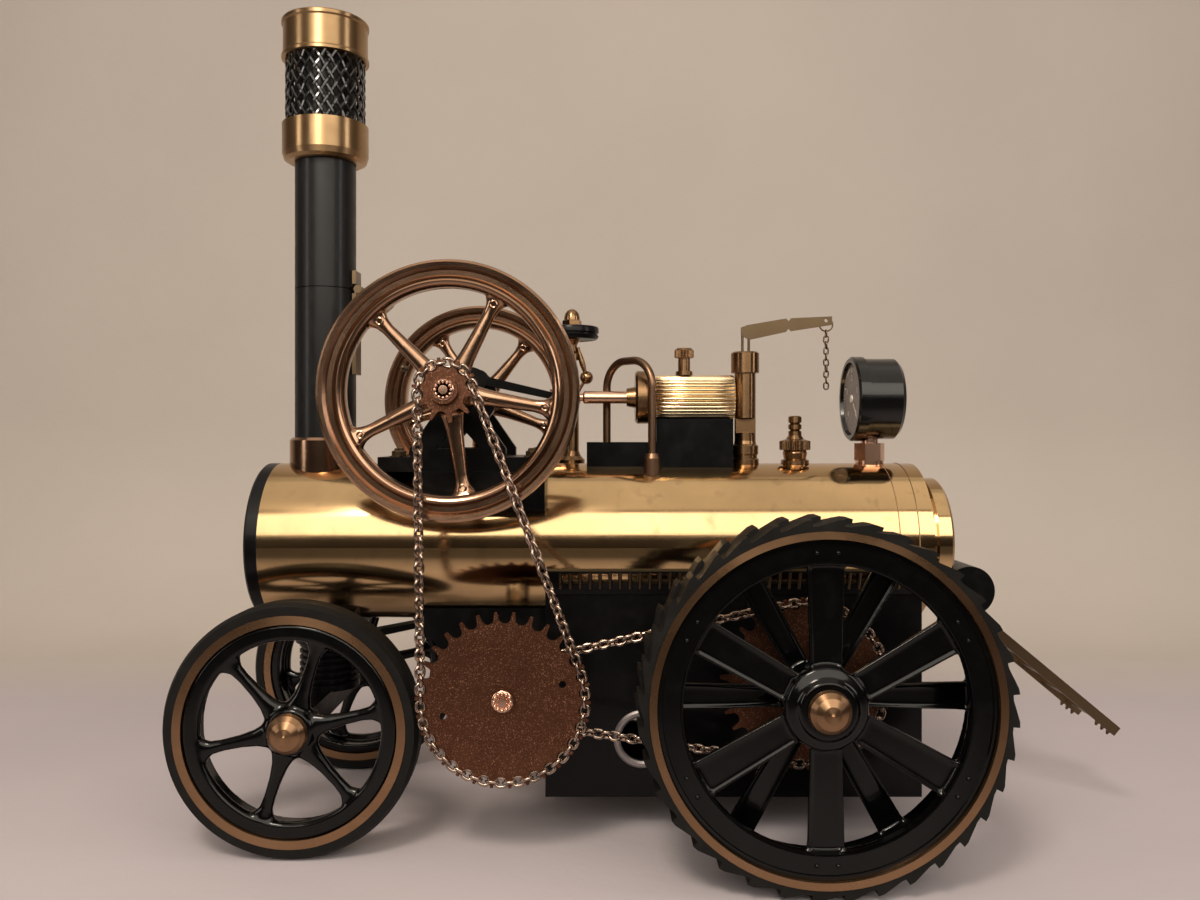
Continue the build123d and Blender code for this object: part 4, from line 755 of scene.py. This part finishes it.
def dotted_nut(sprocket, shaft, body, radius, height, dots=12):
    """Pressed nut on a sprocket's face: a turned cap with a ring of small balls."""
    seat = 0.1
    outside = round(low_high(sprocket)[1][1] - seat, 2)
    cap = turned([(0, 0), (radius, 0), (radius, height * 0.6), (radius - 0.3, height), (radius * 0.5, height),
                  (radius * 0.42, height + 0.5), (0, height + 0.55)], 28)
    dot = ball(radius * 0.19, 8, 6) + (radius * 0.78, 0, height + 0.05)
    nuts = WheelSurface((shaft[0], outside, shaft[2]), 1)
    nuts.spread(cap, [0]).spread(dot, around(dots))
    nuts.piece(f"{body}_sprocket_nut", "bright_copper", body, "bronze", 40)


class LOCOMOBILE_OT_shaft_nuts(bpy.types.Operator):
    """Close the crankshaft's and the layshaft's ends with their pressed nuts"""
    bl_idname = "locomobile.shaft_nuts"
    bl_label = "Shaft nuts"

    def execute(self, context):
        dotted_nut("crank_sprocket", CRANK, "crank", 3.4, 0.7)
        dotted_nut("layshaft_large_sprocket", LAYSHAFT, "layshaft", 3.5, 0.6)
        return {"FINISHED"}


def flywheel(name, side, turn, wheels):
    """Moulded rim turned from its section, and five cast spokes melted to a hub; bore is the rim's inner radius
    and half its half width."""
    low, high = low_high(f"flywheel_{name}")
    rim_radius = (high[0] - low[0]) / 2
    centre = (CRANK[0], (low[1] + high[1]) / 2, CRANK[2])
    rim_depth, half = 9.2, 4.5
    bore = rim_radius - rim_depth
    face = [(bore + 0.1, half - 2.6), (bore + 0.35, half - 1.2), (bore + 1.1, half - 0.35), (bore + 2.0, half),
            (bore + 2.7, half - 0.35), (bore + 3.2, half - 1.1), (bore + 4.0, half - 1.6),
            (rim_radius - 3.6, half - 1.5), (rim_radius - 3.0, half - 0.9), (rim_radius - 2.3, half - 0.15),
            (rim_radius - 1.0, half), (rim_radius - 0.25, half - 0.4), (rim_radius, half - 1.2),
            (rim_radius - 0.2, half - 2.6), (rim_radius - 1.3, half - 3.6)]
    angles = around(FLYWHEEL_SPOKES, turn)
    rim = WheelSurface(centre, side).ring(face + [(radius, -along) for radius, along in reversed(face)], 160)
    boss = turned([(0.7, 0), (0.8, 0.3), (1.1, 0.42), (1.4, 0.3), (1.5, 0)], 20) + (bore - 2.0, 0, 2.2)
    for face_side in (1, -1):
        rim.skin(on_wheel(spun(boss, angles), centre, face_side), closed=True)
    rim.piece(f"flywheel_{name}_rim", "cast_copper", "crank", "copper", 34)
    spokes = WheelSurface(centre, side)
    spokes.ring([(SHAFT_HOLE, -5.4), (6.6, -5.4), (7.0, -5.0), (7.6, -2.6), (8.6, 0), (7.6, 2.6), (7.0, 5.0),
                 (6.6, 5.4), (SHAFT_HOLE, 5.4)], 64)
    spokes.ring([(bore + 0.2, -3.0), (bore + 2.2, -3.0), (bore + 2.2, 3.0), (bore + 0.2, 3.0)], 120)
    spokes.spread(oval_spoke([
        (4.5, 4.6, 2.6, 0), (9.0, 3.5, 2.5, 0), (13, 2.9, 2.3, 0), (bore * 0.68, 2.4, 2.0, 0),
        (bore - 5.5, 2.2, 1.9, 0), (bore - 2.4, 2.7, 2.1, 0), (bore - 0.6, 4.0, 2.5, 0), (bore + 1.4, 6.0, 2.9, 0)],
        0.8), angles)
    spokes.cast(f"flywheel_{name}_spokes", "cast_copper", "crank", "copper", wheels, (f"flywheel_{name}",))


class LOCOMOBILE_OT_flywheels(bpy.types.Operator):
    """Cast both flywheels"""
    bl_idname = "locomobile.flywheels"
    bl_label = "Flywheels"

    def execute(self, context):
        wheels = context.scene.locomobile_wheels
        flywheel("left", 1, wheels.left_flywheel_turn, wheels)
        flywheel("right", -1, wheels.right_flywheel_turn, wheels)
        return {"FINISHED"}


def front_wheel(name, side, wheels):
    """Rim and hub turned from their sections, six oval spokes, all melted together; heights start at the
    tyre's outer face."""
    outer_face = low_high("front_tyre_left")[1][1]
    casting = WheelSurface((FRONT[0], side * outer_face, FRONT[2]), side)
    casting.ring([(31.9, -11.2), (35.4, -11.2), (35.4, -0.1), (34.6, 0), (30.9, 0), (30.0, -0.7), (29.9, -3.2),
                  (31.9, -4.4)], 150)
    casting.ring([(AXLE_HOLE, -12), (7.6, -12), (7.8, -11.6), (7.8, -5.2), (9.8, -4.2), (9.6, -2.4), (8.0, -1.0),
                  (7.6, 0.4), (6.9, 0.6), (AXLE_HOLE, 0.6)], 72)
    casting.spread(oval_spoke([
        (4.5, 5.6, 2.2, -2.9), (8.5, 4.2, 2.3, -2.9), (12, 2.9, 2.2, -3.0), (17, 2.2, 1.9, -3.0),
        (23, 2.0, 1.7, -2.9), (27, 2.3, 1.8, -2.7), (29.6, 4.2, 1.9, -2.5), (31.6, 6.8, 1.9, -2.3)],
        0.9), around(FRONT_SPOKES, wheels.front_turn))
    casting.cast(f"front_wheel_{name}_casting", "gloss_black", f"front_wheel_{name}", "gloss_black", wheels,
                 (f"front_wheel_{name}",))


class LOCOMOBILE_OT_front_wheels(bpy.types.Operator):
    """Cast both front wheels"""
    bl_idname = "locomobile.front_wheels"
    bl_label = "Front wheels"

    def execute(self, context):
        wheels = context.scene.locomobile_wheels
        front_wheel("left", 1, wheels)
        front_wheel("right", -1, wheels)
        return {"FINISHED"}


def rear_wheel(name, side, wheels):
    """Rim turned from its section with its rivets; hub, inner rings and two rows of edged straps in one casting.
    Heights start at the tyre's outer face."""
    outer_face = low_high("rear_tyre_left")[1][1]
    centre = (REAR[0], side * outer_face, REAR[2])
    outer_row = around(REAR_SPOKES, wheels.rear_turn)
    inner_row = outer_row - pi / REAR_SPOKES
    lean = radians(3.9)
    rivet = ball(0.75, 14, 8) + (47.2, 0, -1.9)
    rim = WheelSurface(centre, side)
    rim.ring([(49.4, -21), (51.3, -21), (51.3, -1.1), (50.6, -1.0), (49.9, -1.0), (49.7, -1.7), (47.5, -1.9),
              (44.4, -1.9), (44.0, -1.3), (43.6, -1.4), (43.4, -2.0), (43.4, -3.4), (43.9, -3.6), (49.4, -3.6)], 180)
    rim.spread(rivet, np.concatenate([outer_row - lean, outer_row + lean]))
    rim.piece(f"rear_wheel_{name}_rim", "gloss_black", "rear_wheels", "gloss_black", 34)
    casting = WheelSurface(centre, side)
    casting.ring([(AXLE_HOLE, -22), (11.0, -22), (11.2, -21.5), (11.2, -17.4), (9.6, -15), (9.4, -7), (12.4, -5.0),
                  (13.0, -4.0), (12.6, -2.2), (10.2, -1.2), (9.2, -0.6), (8.8, 0.4), (8.0, 0.6),
                  (AXLE_HOLE, 0.6)], 72)
    casting.ring([(48.2, -20.6), (49.8, -20.6), (49.8, -15.0), (48.2, -17.2)], 150)
    casting.ring([(43.4, -5.6), (45.6, -5.6), (45.6, -2.6), (43.4, -2.6)], 150)
    casting.spread(strap(8, 44.6, 9.4, 11.6, -5.9, -4.1, wheels.strap_edge), outer_row)
    casting.spread(strap(8, 49.0, 7.0, 9.0, -20, -18.2, wheels.strap_edge), inner_row)
    casting.cast(f"rear_wheel_{name}_casting", "gloss_black", "rear_wheels", "gloss_black", wheels,
                 (f"rear_wheel_{name}",))


class LOCOMOBILE_OT_rear_wheels(bpy.types.Operator):
    """Build both rear wheels"""
    bl_idname = "locomobile.rear_wheels"
    bl_label = "Rear wheels"

    def execute(self, context):
        wheels = context.scene.locomobile_wheels
        rear_wheel("left", 1, wheels)
        rear_wheel("right", -1, wheels)
        return {"FINISHED"}


class LOCOMOBILE_OT_chimney_mesh(bpy.types.Operator):
    """Weave the chimney's mesh: flat strands that wind both ways and pass over and under each other"""
    bl_idname = "locomobile.chimney_mesh"
    bl_label = "Chimney mesh"

    def execute(self, context):
        """Strand n: at the angle n step + way sweep p, p up the mesh, its middle at radius + weave way cos 8 pi p;
        its section is thick sin s outwards and half the width cos s across, split by the strand's slope."""
        fittings = context.scene.locomobile_fittings
        low, high = low_high("chimney_cage")
        middle_x, middle_y, _ = middle("chimney_cage")
        radius, weave, thick, clear = 14.2, 0.22, 0.42, 0.05
        level, rise = np.array([0.92, 0.5]) / np.hypot(0.92, 0.5)
        part = np.linspace(0, 1, 33)[:, None]
        s = around(6)
        way = np.array([1, -1]).reshape(2, 1, 1, 1)
        a = around(fittings.strands).reshape(-1, 1, 1) + way * fittings.strand_sweep * part
        out = radius + weave * way * np.cos(8 * pi * part) + thick * np.sin(s)
        flat = fittings.strand_width / MM / 2 * np.cos(s)
        x = middle_x + out * np.cos(a) - level * flat * np.sin(a)
        y = middle_y + out * np.sin(a) + level * flat * np.cos(a)
        z = low[2] + clear + (high[2] - low[2] - 2 * clear) * part - rise * way * flat
        Surface().skin(stacked(x, y, z)).piece("chimney_mesh", "mesh_black", "chimney_top", "satin_black", 25,
                                               ("chimney_cage",))
        return {"FINISHED"}


def bar_between(start, end, stations, sides=12):
    """Round bar from start to end: a profile of (part of the way, radius), turned about the line."""
    start, end = np.asarray(start, float), np.asarray(end, float)
    reach = np.linalg.norm(end - start)
    return placed(turned([(radius, part * reach) for part, radius in stations], sides), start, end - start)


class LOCOMOBILE_OT_governor(bpy.types.Operator):
    """Build the governor's head: grooved disc, acorn nut, arms and balls"""
    bl_idname = "locomobile.governor"
    bl_label = "Governor"

    def execute(self, context):
        low, high = low_high("governor_head")
        x, y, _ = middle("governor_head")
        collar, disc_low, disc_high = low[2], high[2] - 12, high[2] - 7
        upright = (x, y, 0)
        disc = turned([
            (1.3, disc_low), (7.6, disc_low), (8.2, disc_low - 0.2), (9.6, disc_low), (10.3, disc_low + 0.7),
            (10.5, disc_low + 1.4), (10.0, disc_low + 1.7), (10.0, disc_low + 2.2), (10.5, disc_low + 2.6),
            (10.5, disc_high - 0.8), (10.2, disc_high - 0.2), (9.6, disc_high), (8.0, disc_high - 0.5),
            (1.3, disc_high - 0.5)], 96) + upright
        Surface().skin(disc, closed=True).piece("governor_disc", "satin_black", "governor", "polished_brass", 34)
        head = Surface().skin(nut(3.9, disc_high - 0.6, disc_high + 2.6, 6, 0.3) + upright)
        head.skin(turned([
            (0, disc_high + 2.4), (3.1, disc_high + 2.4), (3.1, disc_high + 3.6), (2.7, disc_high + 5.2),
            (1.9, disc_high + 6.3), (0.9, disc_high + 6.9), (0, disc_high + 7.0)], 36) + upright)
        head.skin(turned([
            (1.3, disc_low - 8), (2.6, disc_low - 8), (2.6, disc_low - 5.4), (2.0, disc_low - 4.6),
            (2.0, disc_low - 2), (3.4, disc_low), (1.3, disc_low)], 40) + upright, closed=True)
        head.skin(turned([
            (1.3, collar), (2.4, collar), (2.7, collar + 0.4), (2.7, collar + 2.1), (2.3, collar + 2.6),
            (1.3, collar + 2.6)], 40) + upright, closed=True)
        for side in (1, -1):
            weight = np.array((x + side * 5.7, y, collar + 7.4))
            head.skin(ball(2.6, 28, 18) + weight)
            head.skin(bar_between((x + side * 2.2, y, disc_low - 3.0), weight, [
                (0, 0.8), (0.15, 0.75), (0.35, 1.05), (0.55, 1.15), (0.75, 0.85), (0.86, 0.7), (1, 0.8)]))
            head.skin(bar_between((x + side * 2.1, y, collar + 1.3), weight, [(0, 0.75), (0.5, 0.62), (1, 0.75)]))
        head.piece("governor_head_turned", "fitting_brass", "governor", "polished_brass", 30, ("governor_head",))
        return {"FINISHED"}


class LOCOMOBILE_OT_whistle_chain(bpy.types.Operator):
    """Hang the fine chain from its ring at the end of the whistle's lever"""
    bl_idname = "locomobile.whistle_chain"
    bl_label = "Whistle chain"

    def execute(self, context):
        chains = context.scene.locomobile_chains
        low, high = low_high("whistle_chain")
        x, wire = middle("whistle_chain")[0], chains.whistle_wire / MM
        ring_radius, link_long, link_wide = 2.5, 3.3, 2.3
        ring_z = high[2] - 1.9
        circle = ring_radius * np.stack([np.cos(around(28)), np.sin(around(28))], axis=1)
        ring = wire_loop(circle, wire / 2)[..., [0, 2, 1]]
        hung = Surface().skin(ring + (x, 0, ring_z), closed=True)
        pitch = chains.whistle_pitch / MM
        first_z, last_z = ring_z - ring_radius - 0.9, low[2] + 1.75
        z = np.arange(first_z, last_z, -pitch)
        link = np.arange(len(z))
        lean = 0.12 * np.sin(link * 2.1)
        along = stacked(np.sin(lean), 0.0, -np.cos(lean))
        roll = pi / 2 * (link % 2 == 0) + radians(12) * np.sin(link * 1.7)
        hung.skin(threaded(oval_link(link_long, link_wide, wire, 7), stacked(x, 0.0, z), along, roll), closed=True)
        hung.piece("whistle_chain_links", "aged_bronze", "engine", "bronze", 60, ("whistle_chain",))
        return {"FINISHED"}


class LOCOMOBILE_OT_jacket(bpy.types.Operator):
    """Wrap the cylinder in its jacket of round ribs"""
    bl_idname = "locomobile.jacket"
    bl_label = "Cylinder jacket"

    def execute(self, context):
        """Radius at the angle t: outer - depth (1 - |sin (ribs t / 2)| ^ 0.7), the same along the cylinder."""
        fittings = context.scene.locomobile_fittings
        low, high = low_high("cylinder_jacket")
        _, y, z = middle("cylinder_jacket")
        outer = (high[1] - low[1]) / 2
        steps_per_rib, bevel, bevel_in = 10, 0.3, 0.35
        t = around(fittings.jacket_ribs * steps_per_rib)
        swell = np.abs(np.sin(fittings.jacket_ribs * t / 2)) ** 0.7
        r = outer - fittings.rib_depth / MM * (1 - swell)
        ends = np.array([[low[0], bevel_in], [low[0] + bevel, 0], [high[0] - bevel, 0], [high[0], bevel_in]])
        x, inset = ends.T[:, :, None]
        grid = stacked(x, y + (r - inset) * np.cos(t), z + (r - inset) * np.sin(t))
        Surface().skin(grid).piece("jacket_ribs", "jacket_gilt", "engine", "copper", 50, ("cylinder_jacket",))
        return {"FINISHED"}


class LOCOMOBILE_OT_dial(bpy.types.Operator):
    """Mark the gauge's dial with a plain scale, a few numbers and a needle"""
    bl_idname = "locomobile.dial"
    bl_label = "Gauge dial"

    def execute(self, context):
        """A mark is a thin box between two points of the face; u runs across the face and v up it."""
        ticks = context.scene.locomobile_fittings.dial_ticks
        high = low_high("gauge_dial")[1]
        _, y, z = middle("gauge_dial")
        face_x = high[0] + 0.06
        first, sweep = radians(225), radians(270)
        tick = np.arange(ticks + 1)
        inner = np.where(tick % 10 == 0, 9.9, np.where(tick % 5 == 0, 10.7, 11.2))
        thick = np.where(tick % 10 == 0, 0.4, 0.22)
        needle_angle, needle_inner, needle_tip, needle_width = first, 2.5, 9.4, 0.7
        a = np.append(first - sweep * tick / ticks, needle_angle)
        reach, width = np.append(inner, needle_inner), np.append(thick, needle_width)
        tip = np.append(np.full(ticks + 1, 12.0), needle_tip)
        radius = np.stack([reach, tip, tip, reach], axis=1)
        across = width[:, None] / 2 * (1, 1, -1, -1)
        u = -np.cos(a)[:, None] * radius + np.sin(a)[:, None] * across
        v = np.sin(a)[:, None] * radius + np.cos(a)[:, None] * across
        level = np.array([0, 0.08])[None, :, None]
        marks = Surface().skin(stacked(face_x + level, y + u[:, None], z + v[:, None]))
        marks.skin(placed(turned([(0, 0), (1.6, 0), (1.4, 0.5), (0, 0.6)], 24), (face_x, y, z), (1, 0, 0)))
        marks.piece("gauge_marks", "dial_ink", "engine", "dial", 30)
        stand = Matrix(((0, 0, 1, 0), (1, 0, 0, 0), (0, 1, 0, 0), (0, 0, 0, 1)))
        numbers, number_radius = 5, 8.0
        for number in range(numbers):
            at = first - sweep * number / (numbers - 1)
            data = bpy.data.curves.new(f"number_{number}", "FONT")
            data.body = str(number)
            data.size = 3.2 * MM
            data.extrude = 0.03 * MM
            data.align_x, data.align_y = "CENTER", "CENTER"
            text = linked(f"number_{number}", data)
            mesh = evaluated_mesh(text)
            place = Vector((face_x + 0.05, y - np.cos(at) * number_radius, z + np.sin(at) * number_radius)) * MM
            mesh.transform(Matrix.Translation(place) @ stand)
            bpy.data.objects.remove(text)
            finished(f"gauge_number_{number}", mesh, "dial_ink", "engine")
        return {"FINISHED"}


class LOCOMOBILE_OT_fasteners(bpy.types.Operator):
    """Fit the bed's cap nuts and the hinge's screws"""
    bl_idname = "locomobile.fasteners"
    bl_label = "Fasteners"

    def execute(self, context):
        low, high = low_high("engine_bed")
        rows = (low[0] + 5.5, high[0] - 5.9)
        centres = [(x, y, high[2]) for x in rows for y in (-20.0, 20.0, -12.5, 12.5)]
        nuts = Surface()
        nuts.skin(copies(turned([(2.5, 0), (2.5, 0.4)], 28), centres))
        nuts.skin(copies(nut(1.9, 0.4, 2.2, 6, 0.4, 0.3), centres))
        nuts.skin(copies(turned([(0.95, 2.1), (0.95, 2.9), (0.65, 3.15)], 18), centres))
        nuts.piece("bed_nuts", "aged_bronze", "engine", "bronze", 30)
        corner = low_high("hinge_lower")[0]
        heads = [(corner[0] + 0.2, y, corner[2] + up) for up in (10.0, 2.5) for y in (2.6, -2.6)]
        Surface().skin(copies(ball(1.15, 16, 10), heads)).piece("hinge_screws", "aged_bronze", "engine", "bronze", 60)
        return {"FINISHED"}


def knurl(centre, radius, low, high, ribs):
    """Fine upright ribs round a turned edge: one small square bar, spun about the fitting's axis."""
    bar = nut(0.28, low, high, 4, 0.0, 0.1) + (radius, 0, 0)
    return spun(bar, around(ribs)) + (centre[0], centre[1], 0)


def vent_ribs(fittings, axis_z):
    """Round ribs between the vents, bent about the boiler: ((R + r cos s) cos a, (R + r cos s) sin a) in (y, z),
    x + r sin s along the boiler."""
    low, high = low_high("firebox")
    shell_low, shell_high = low_high("boiler_shell")
    pitch, end_margin, stand_off = 3.5, 4.0, 1.5
    flange_low, flange_high = high[2] - 6.2, high[2] - 0.4
    bend, r = (shell_high[1] - shell_low[1]) / 2 + stand_off, fittings.vent_rib / MM / 2
    bars = int((high[0] - low[0] - 2 * end_margin) / pitch) + 1
    x = (low[0] + high[0]) / 2 + pitch * (np.arange(bars) - (bars - 1) / 2)
    a = np.arcsin((np.linspace(flange_low, flange_high, 7) - axis_z) / bend)[:, None]
    s = around(8)
    ribs = Surface()
    for side in (1, -1):
        out = bend + r * np.cos(s)
        ribs.skin(stacked(x[:, None, None] + r * np.sin(s), side * out * np.cos(a), axis_z + out * np.sin(a)))
    ribs.piece("vent_ribs", "aged_bronze", "engine", "bronze", 60)


class LOCOMOBILE_OT_trims(bpy.types.Operator):
    """Knurl the oiler and the valve, ring the boiler, glaze the sight glass and rib the firebox's vents"""
    bl_idname = "locomobile.trims"
    bl_label = "Trims"

    def execute(self, context):
        oiler_top, valve_top = low_high("oiler")[1][2], low_high("safety_valve")[1][2]
        edges = Surface().skin(knurl(middle("oiler"), 3.4, oiler_top - 3.5, oiler_top - 0.8, 36))
        edges.skin(knurl(middle("safety_valve"), 5.5, valve_top - 12.8, valve_top - 9.5, 44))
        edges.piece("knurled_edges", "fitting_brass", "engine", "polished_brass", 30)
        low, high = low_high("boiler_shell")
        radius, axis_z = high[1], middle("boiler_shell")[2]
        band = turned([(radius + 0.02, -0.2), (radius + 0.18, -0.12), (radius + 0.18, 0.12), (radius + 0.02, 0.2)],
                      128)
        bands = Surface()
        for inwards in (0.9, 7.7):
            bands.skin(placed(band, (low[0] + inwards, 0, axis_z), (1, 0, 0)), closed=True)
        bands.piece("boiler_rings", "chimney_brass", "engine", "polished_brass", 30)
        vent_ribs(context.scene.locomobile_fittings, axis_z)
        lens = turned([(0, 0), (7.3, 0), (7.3, 0.7), (6.4, 1.15), (0, 1.35)], 64)
        seat_x = low_high("boiler_rear_cap")[0][0] + 1.3
        Surface().skin(placed(lens, (seat_x, 0, axis_z), (-1, 0, 0))).piece(
            "sight_glass", "sight_glass", "engine", "gloss_black", 40)
        return {"FINISHED"}


# ---------------------------------------------------------------- stage
def stage_finish(stage):
    """Pale paper floor that turns into a plain plastered wall behind the model; in front of it the floor darkens, a
    painted shade that stands in for the unlit room which the metal reflects.
    """
    wall_start, wall_full, painted_shade_start, painted_shade_full = -0.15, -0.26, 0.13, 0.3
    finish = Finish("stage_paper", stage.floor, 0.0, 0.75, Specular_IOR_Level=0.2)
    graph = finish.graph
    depth = graph.node("SeparateXYZ", {"Vector": finish.place}).outputs["Y"]
    cloud = graph.range(graph.noise(finish.place, 5.0), 0, 1)
    shades = [graph.mix(cloud, tone, toned(tone, 0.93)) for tone in (stage.floor, stage.wall)]
    pale = graph.mix(graph.range(depth, 1, 0, wall_full, wall_start), *shades)
    # painted shade: darker floor in front of the model, standing in for the unlit room that the metal and the gloss
    # paint reflect
    finish.set("Base Color", graph.mix(graph.range(depth, 0, 1, painted_shade_start, painted_shade_full), pale, stage.dark))
    finish.grain(90.0, 0.25)
    return finish.material


def area_light(name, watts, place, aim, size, color):
    """Rectangular lamp that shines from its place to its aim; sizes in millimetres, power in watts."""
    data = bpy.data.lights.new(name, "AREA")
    data.shape = "RECTANGLE"
    data.size, data.size_y = size[0] * MM, size[1] * MM
    data.energy = watts
    data.color = color
    light = linked(name, data)
    light.location = Vector(place) * MM
    light.rotation_euler = (Vector(aim) - Vector(place)).to_track_quat("-Z", "Y").to_euler()


def room_light(strength):
    """World colour by height: a dark lower room, dim walls and a pale ceiling."""
    world = bpy.data.worlds.new("room")
    bpy.context.scene.world = world
    world.use_nodes = True
    graph = Graph(world.node_tree)
    background = world.node_tree.nodes["Background"]
    height = graph.node("SeparateXYZ", {"Vector": graph.node("TexCoord").outputs["Generated"]}).outputs["Z"]
    ramp = graph.node("ValToRGB", {"Fac": graph.range(height, 0, 1, -1, 1)})
    stops = [(0.0, (0.05, 0.04, 0.035)), (0.44, (0.03, 0.024, 0.02)), (0.56, (0.06, 0.046, 0.038)),
             (0.66, (0.34, 0.27, 0.21)), (0.8, (0.42, 0.34, 0.27)), (1.0, (0.7, 0.6, 0.5))]
    while len(ramp.color_ramp.elements) < len(stops):
        ramp.color_ramp.elements.new(0.5)
    for element, (position, color) in zip(ramp.color_ramp.elements, stops):
        element.position = position
        element.color = (*color, 1)
    world.node_tree.links.new(ramp.outputs["Color"], background.inputs["Color"])
    background.inputs["Strength"].default_value = strength


class LOCOMOBILE_OT_stage(bpy.types.Operator):
    """Set the floor and wall, the lamps, the room's light and the camera"""
    bl_idname = "locomobile.stage"
    bl_label = "Stage"

    def execute(self, context):
        """Floor and wall are one profile in (y, z), a line, a quarter circle and a line, drawn out along x."""
        stage = context.scene.locomobile_stage
        front_y, back_y, bend, half_width, wall_top = 1500, -420, 160, 2500.0, 2200
        p = np.linspace(0, pi / 2, 13)
        y = np.concatenate([[front_y], back_y + bend - bend * np.sin(p), [back_y]])
        z = np.concatenate([[0], bend - bend * np.cos(p), [wall_top]])
        sheet = stacked(np.array([-half_width, half_width]), y[:, None], z[:, None])
        mesh = Surface().skin(sheet, sheet=True).mesh("floor")
        mesh.materials.append(stage_finish(stage))
        mesh.shade_smooth()
        floor = linked("floor", mesh)

        area_light("lamp", stage.lamp, (190, 560, 690), (20, 0, 90), (170, 170), (1.0, 0.88, 0.74))
        area_light("ceiling", stage.ceiling, (0, 150, 1100), (0, -60, 100), (1500, 1200), (1.0, 0.9, 0.78))
        area_light("front", stage.front, (-60, 760, 520), (20, 0, 110), (1200, 500), (1.0, 0.92, 0.8))
        area_light("window", stage.window, (-800, 300, 420), (-60, 0, 120), (160, 420), (1.0, 0.93, 0.88))
        area_light("doorway", stage.doorway, (800, 420, 330), (60, 0, 120), (140, 420), (1.0, 0.92, 0.84))
        room_light(stage.room)

        data = bpy.data.cameras.new("camera")
        data.lens = stage.lens
        data.sensor_width = 36
        data.shift_x, data.shift_y = 0.0025, -0.0108
        data.clip_start = 0.01
        camera = linked("camera", data)
        camera.location = Vector((23.7, 379, 139.4)) * MM
        camera.rotation_euler = (radians(90), 0, radians(180))
        bpy.context.scene.camera = camera
        bpy.context.scene.view_settings.view_transform = "Standard"
        return {"FINISHED"}


# ---------------------------------------------------------------- add-on
SETTINGS = {
    "locomobile_colours": LocomobileColours, "locomobile_chains": LocomobileChains,
    "locomobile_wheels": LocomobileWheels, "locomobile_fittings": LocomobileFittings,
    "locomobile_stage": LocomobileStage,
}
OPERATORS = (
    LOCOMOBILE_OT_finishes, LOCOMOBILE_OT_drive_chains, LOCOMOBILE_OT_shaft_nuts, LOCOMOBILE_OT_flywheels,
    LOCOMOBILE_OT_front_wheels, LOCOMOBILE_OT_rear_wheels, LOCOMOBILE_OT_chimney_mesh, LOCOMOBILE_OT_governor,
    LOCOMOBILE_OT_whistle_chain, LOCOMOBILE_OT_jacket, LOCOMOBILE_OT_dial, LOCOMOBILE_OT_fasteners,
    LOCOMOBILE_OT_trims, LOCOMOBILE_OT_stage,
)


class LOCOMOBILE_PT_sidebar(bpy.types.Panel):
    """Lists the pieces of the model"""
    bl_idname = "LOCOMOBILE_PT_sidebar"
    bl_label = "Locomobile"
    bl_space_type = "VIEW_3D"
    bl_region_type = "UI"
    bl_category = "Locomobile"

    def draw(self, context):
        for operator in OPERATORS:
            self.layout.operator(operator.bl_idname)
        for name, group in SETTINGS.items():
            box = self.layout.box()
            box.label(text=group.__doc__)
            for setting in group.__annotations__:
                box.prop(getattr(context.scene, name), setting)


def register():
    """Add the settings, the operators and the panel."""
    for kind in (*SETTINGS.values(), *OPERATORS, LOCOMOBILE_PT_sidebar):
        bpy.utils.register_class(kind)
    for name, kind in SETTINGS.items():
        setattr(bpy.types.Scene, name, PointerProperty(type=kind))


def unregister():
    """Take them all away again."""
    for name in SETTINGS:
        delattr(bpy.types.Scene, name)
    for kind in reversed((*SETTINGS.values(), *OPERATORS, LOCOMOBILE_PT_sidebar)):
        bpy.utils.unregister_class(kind)


def main():
    """Build every piece in order."""
    register()
    bpy.ops.locomobile.finishes()
    bpy.ops.locomobile.drive_chains()
    bpy.ops.locomobile.shaft_nuts()
    bpy.ops.locomobile.flywheels()
    bpy.ops.locomobile.front_wheels()
    bpy.ops.locomobile.rear_wheels()
    bpy.ops.locomobile.chimney_mesh()
    bpy.ops.locomobile.governor()
    bpy.ops.locomobile.whistle_chain()
    bpy.ops.locomobile.jacket()
    bpy.ops.locomobile.dial()
    bpy.ops.locomobile.fasteners()
    bpy.ops.locomobile.trims()
    bpy.ops.locomobile.stage()


if __name__ == "__main__":
    main()
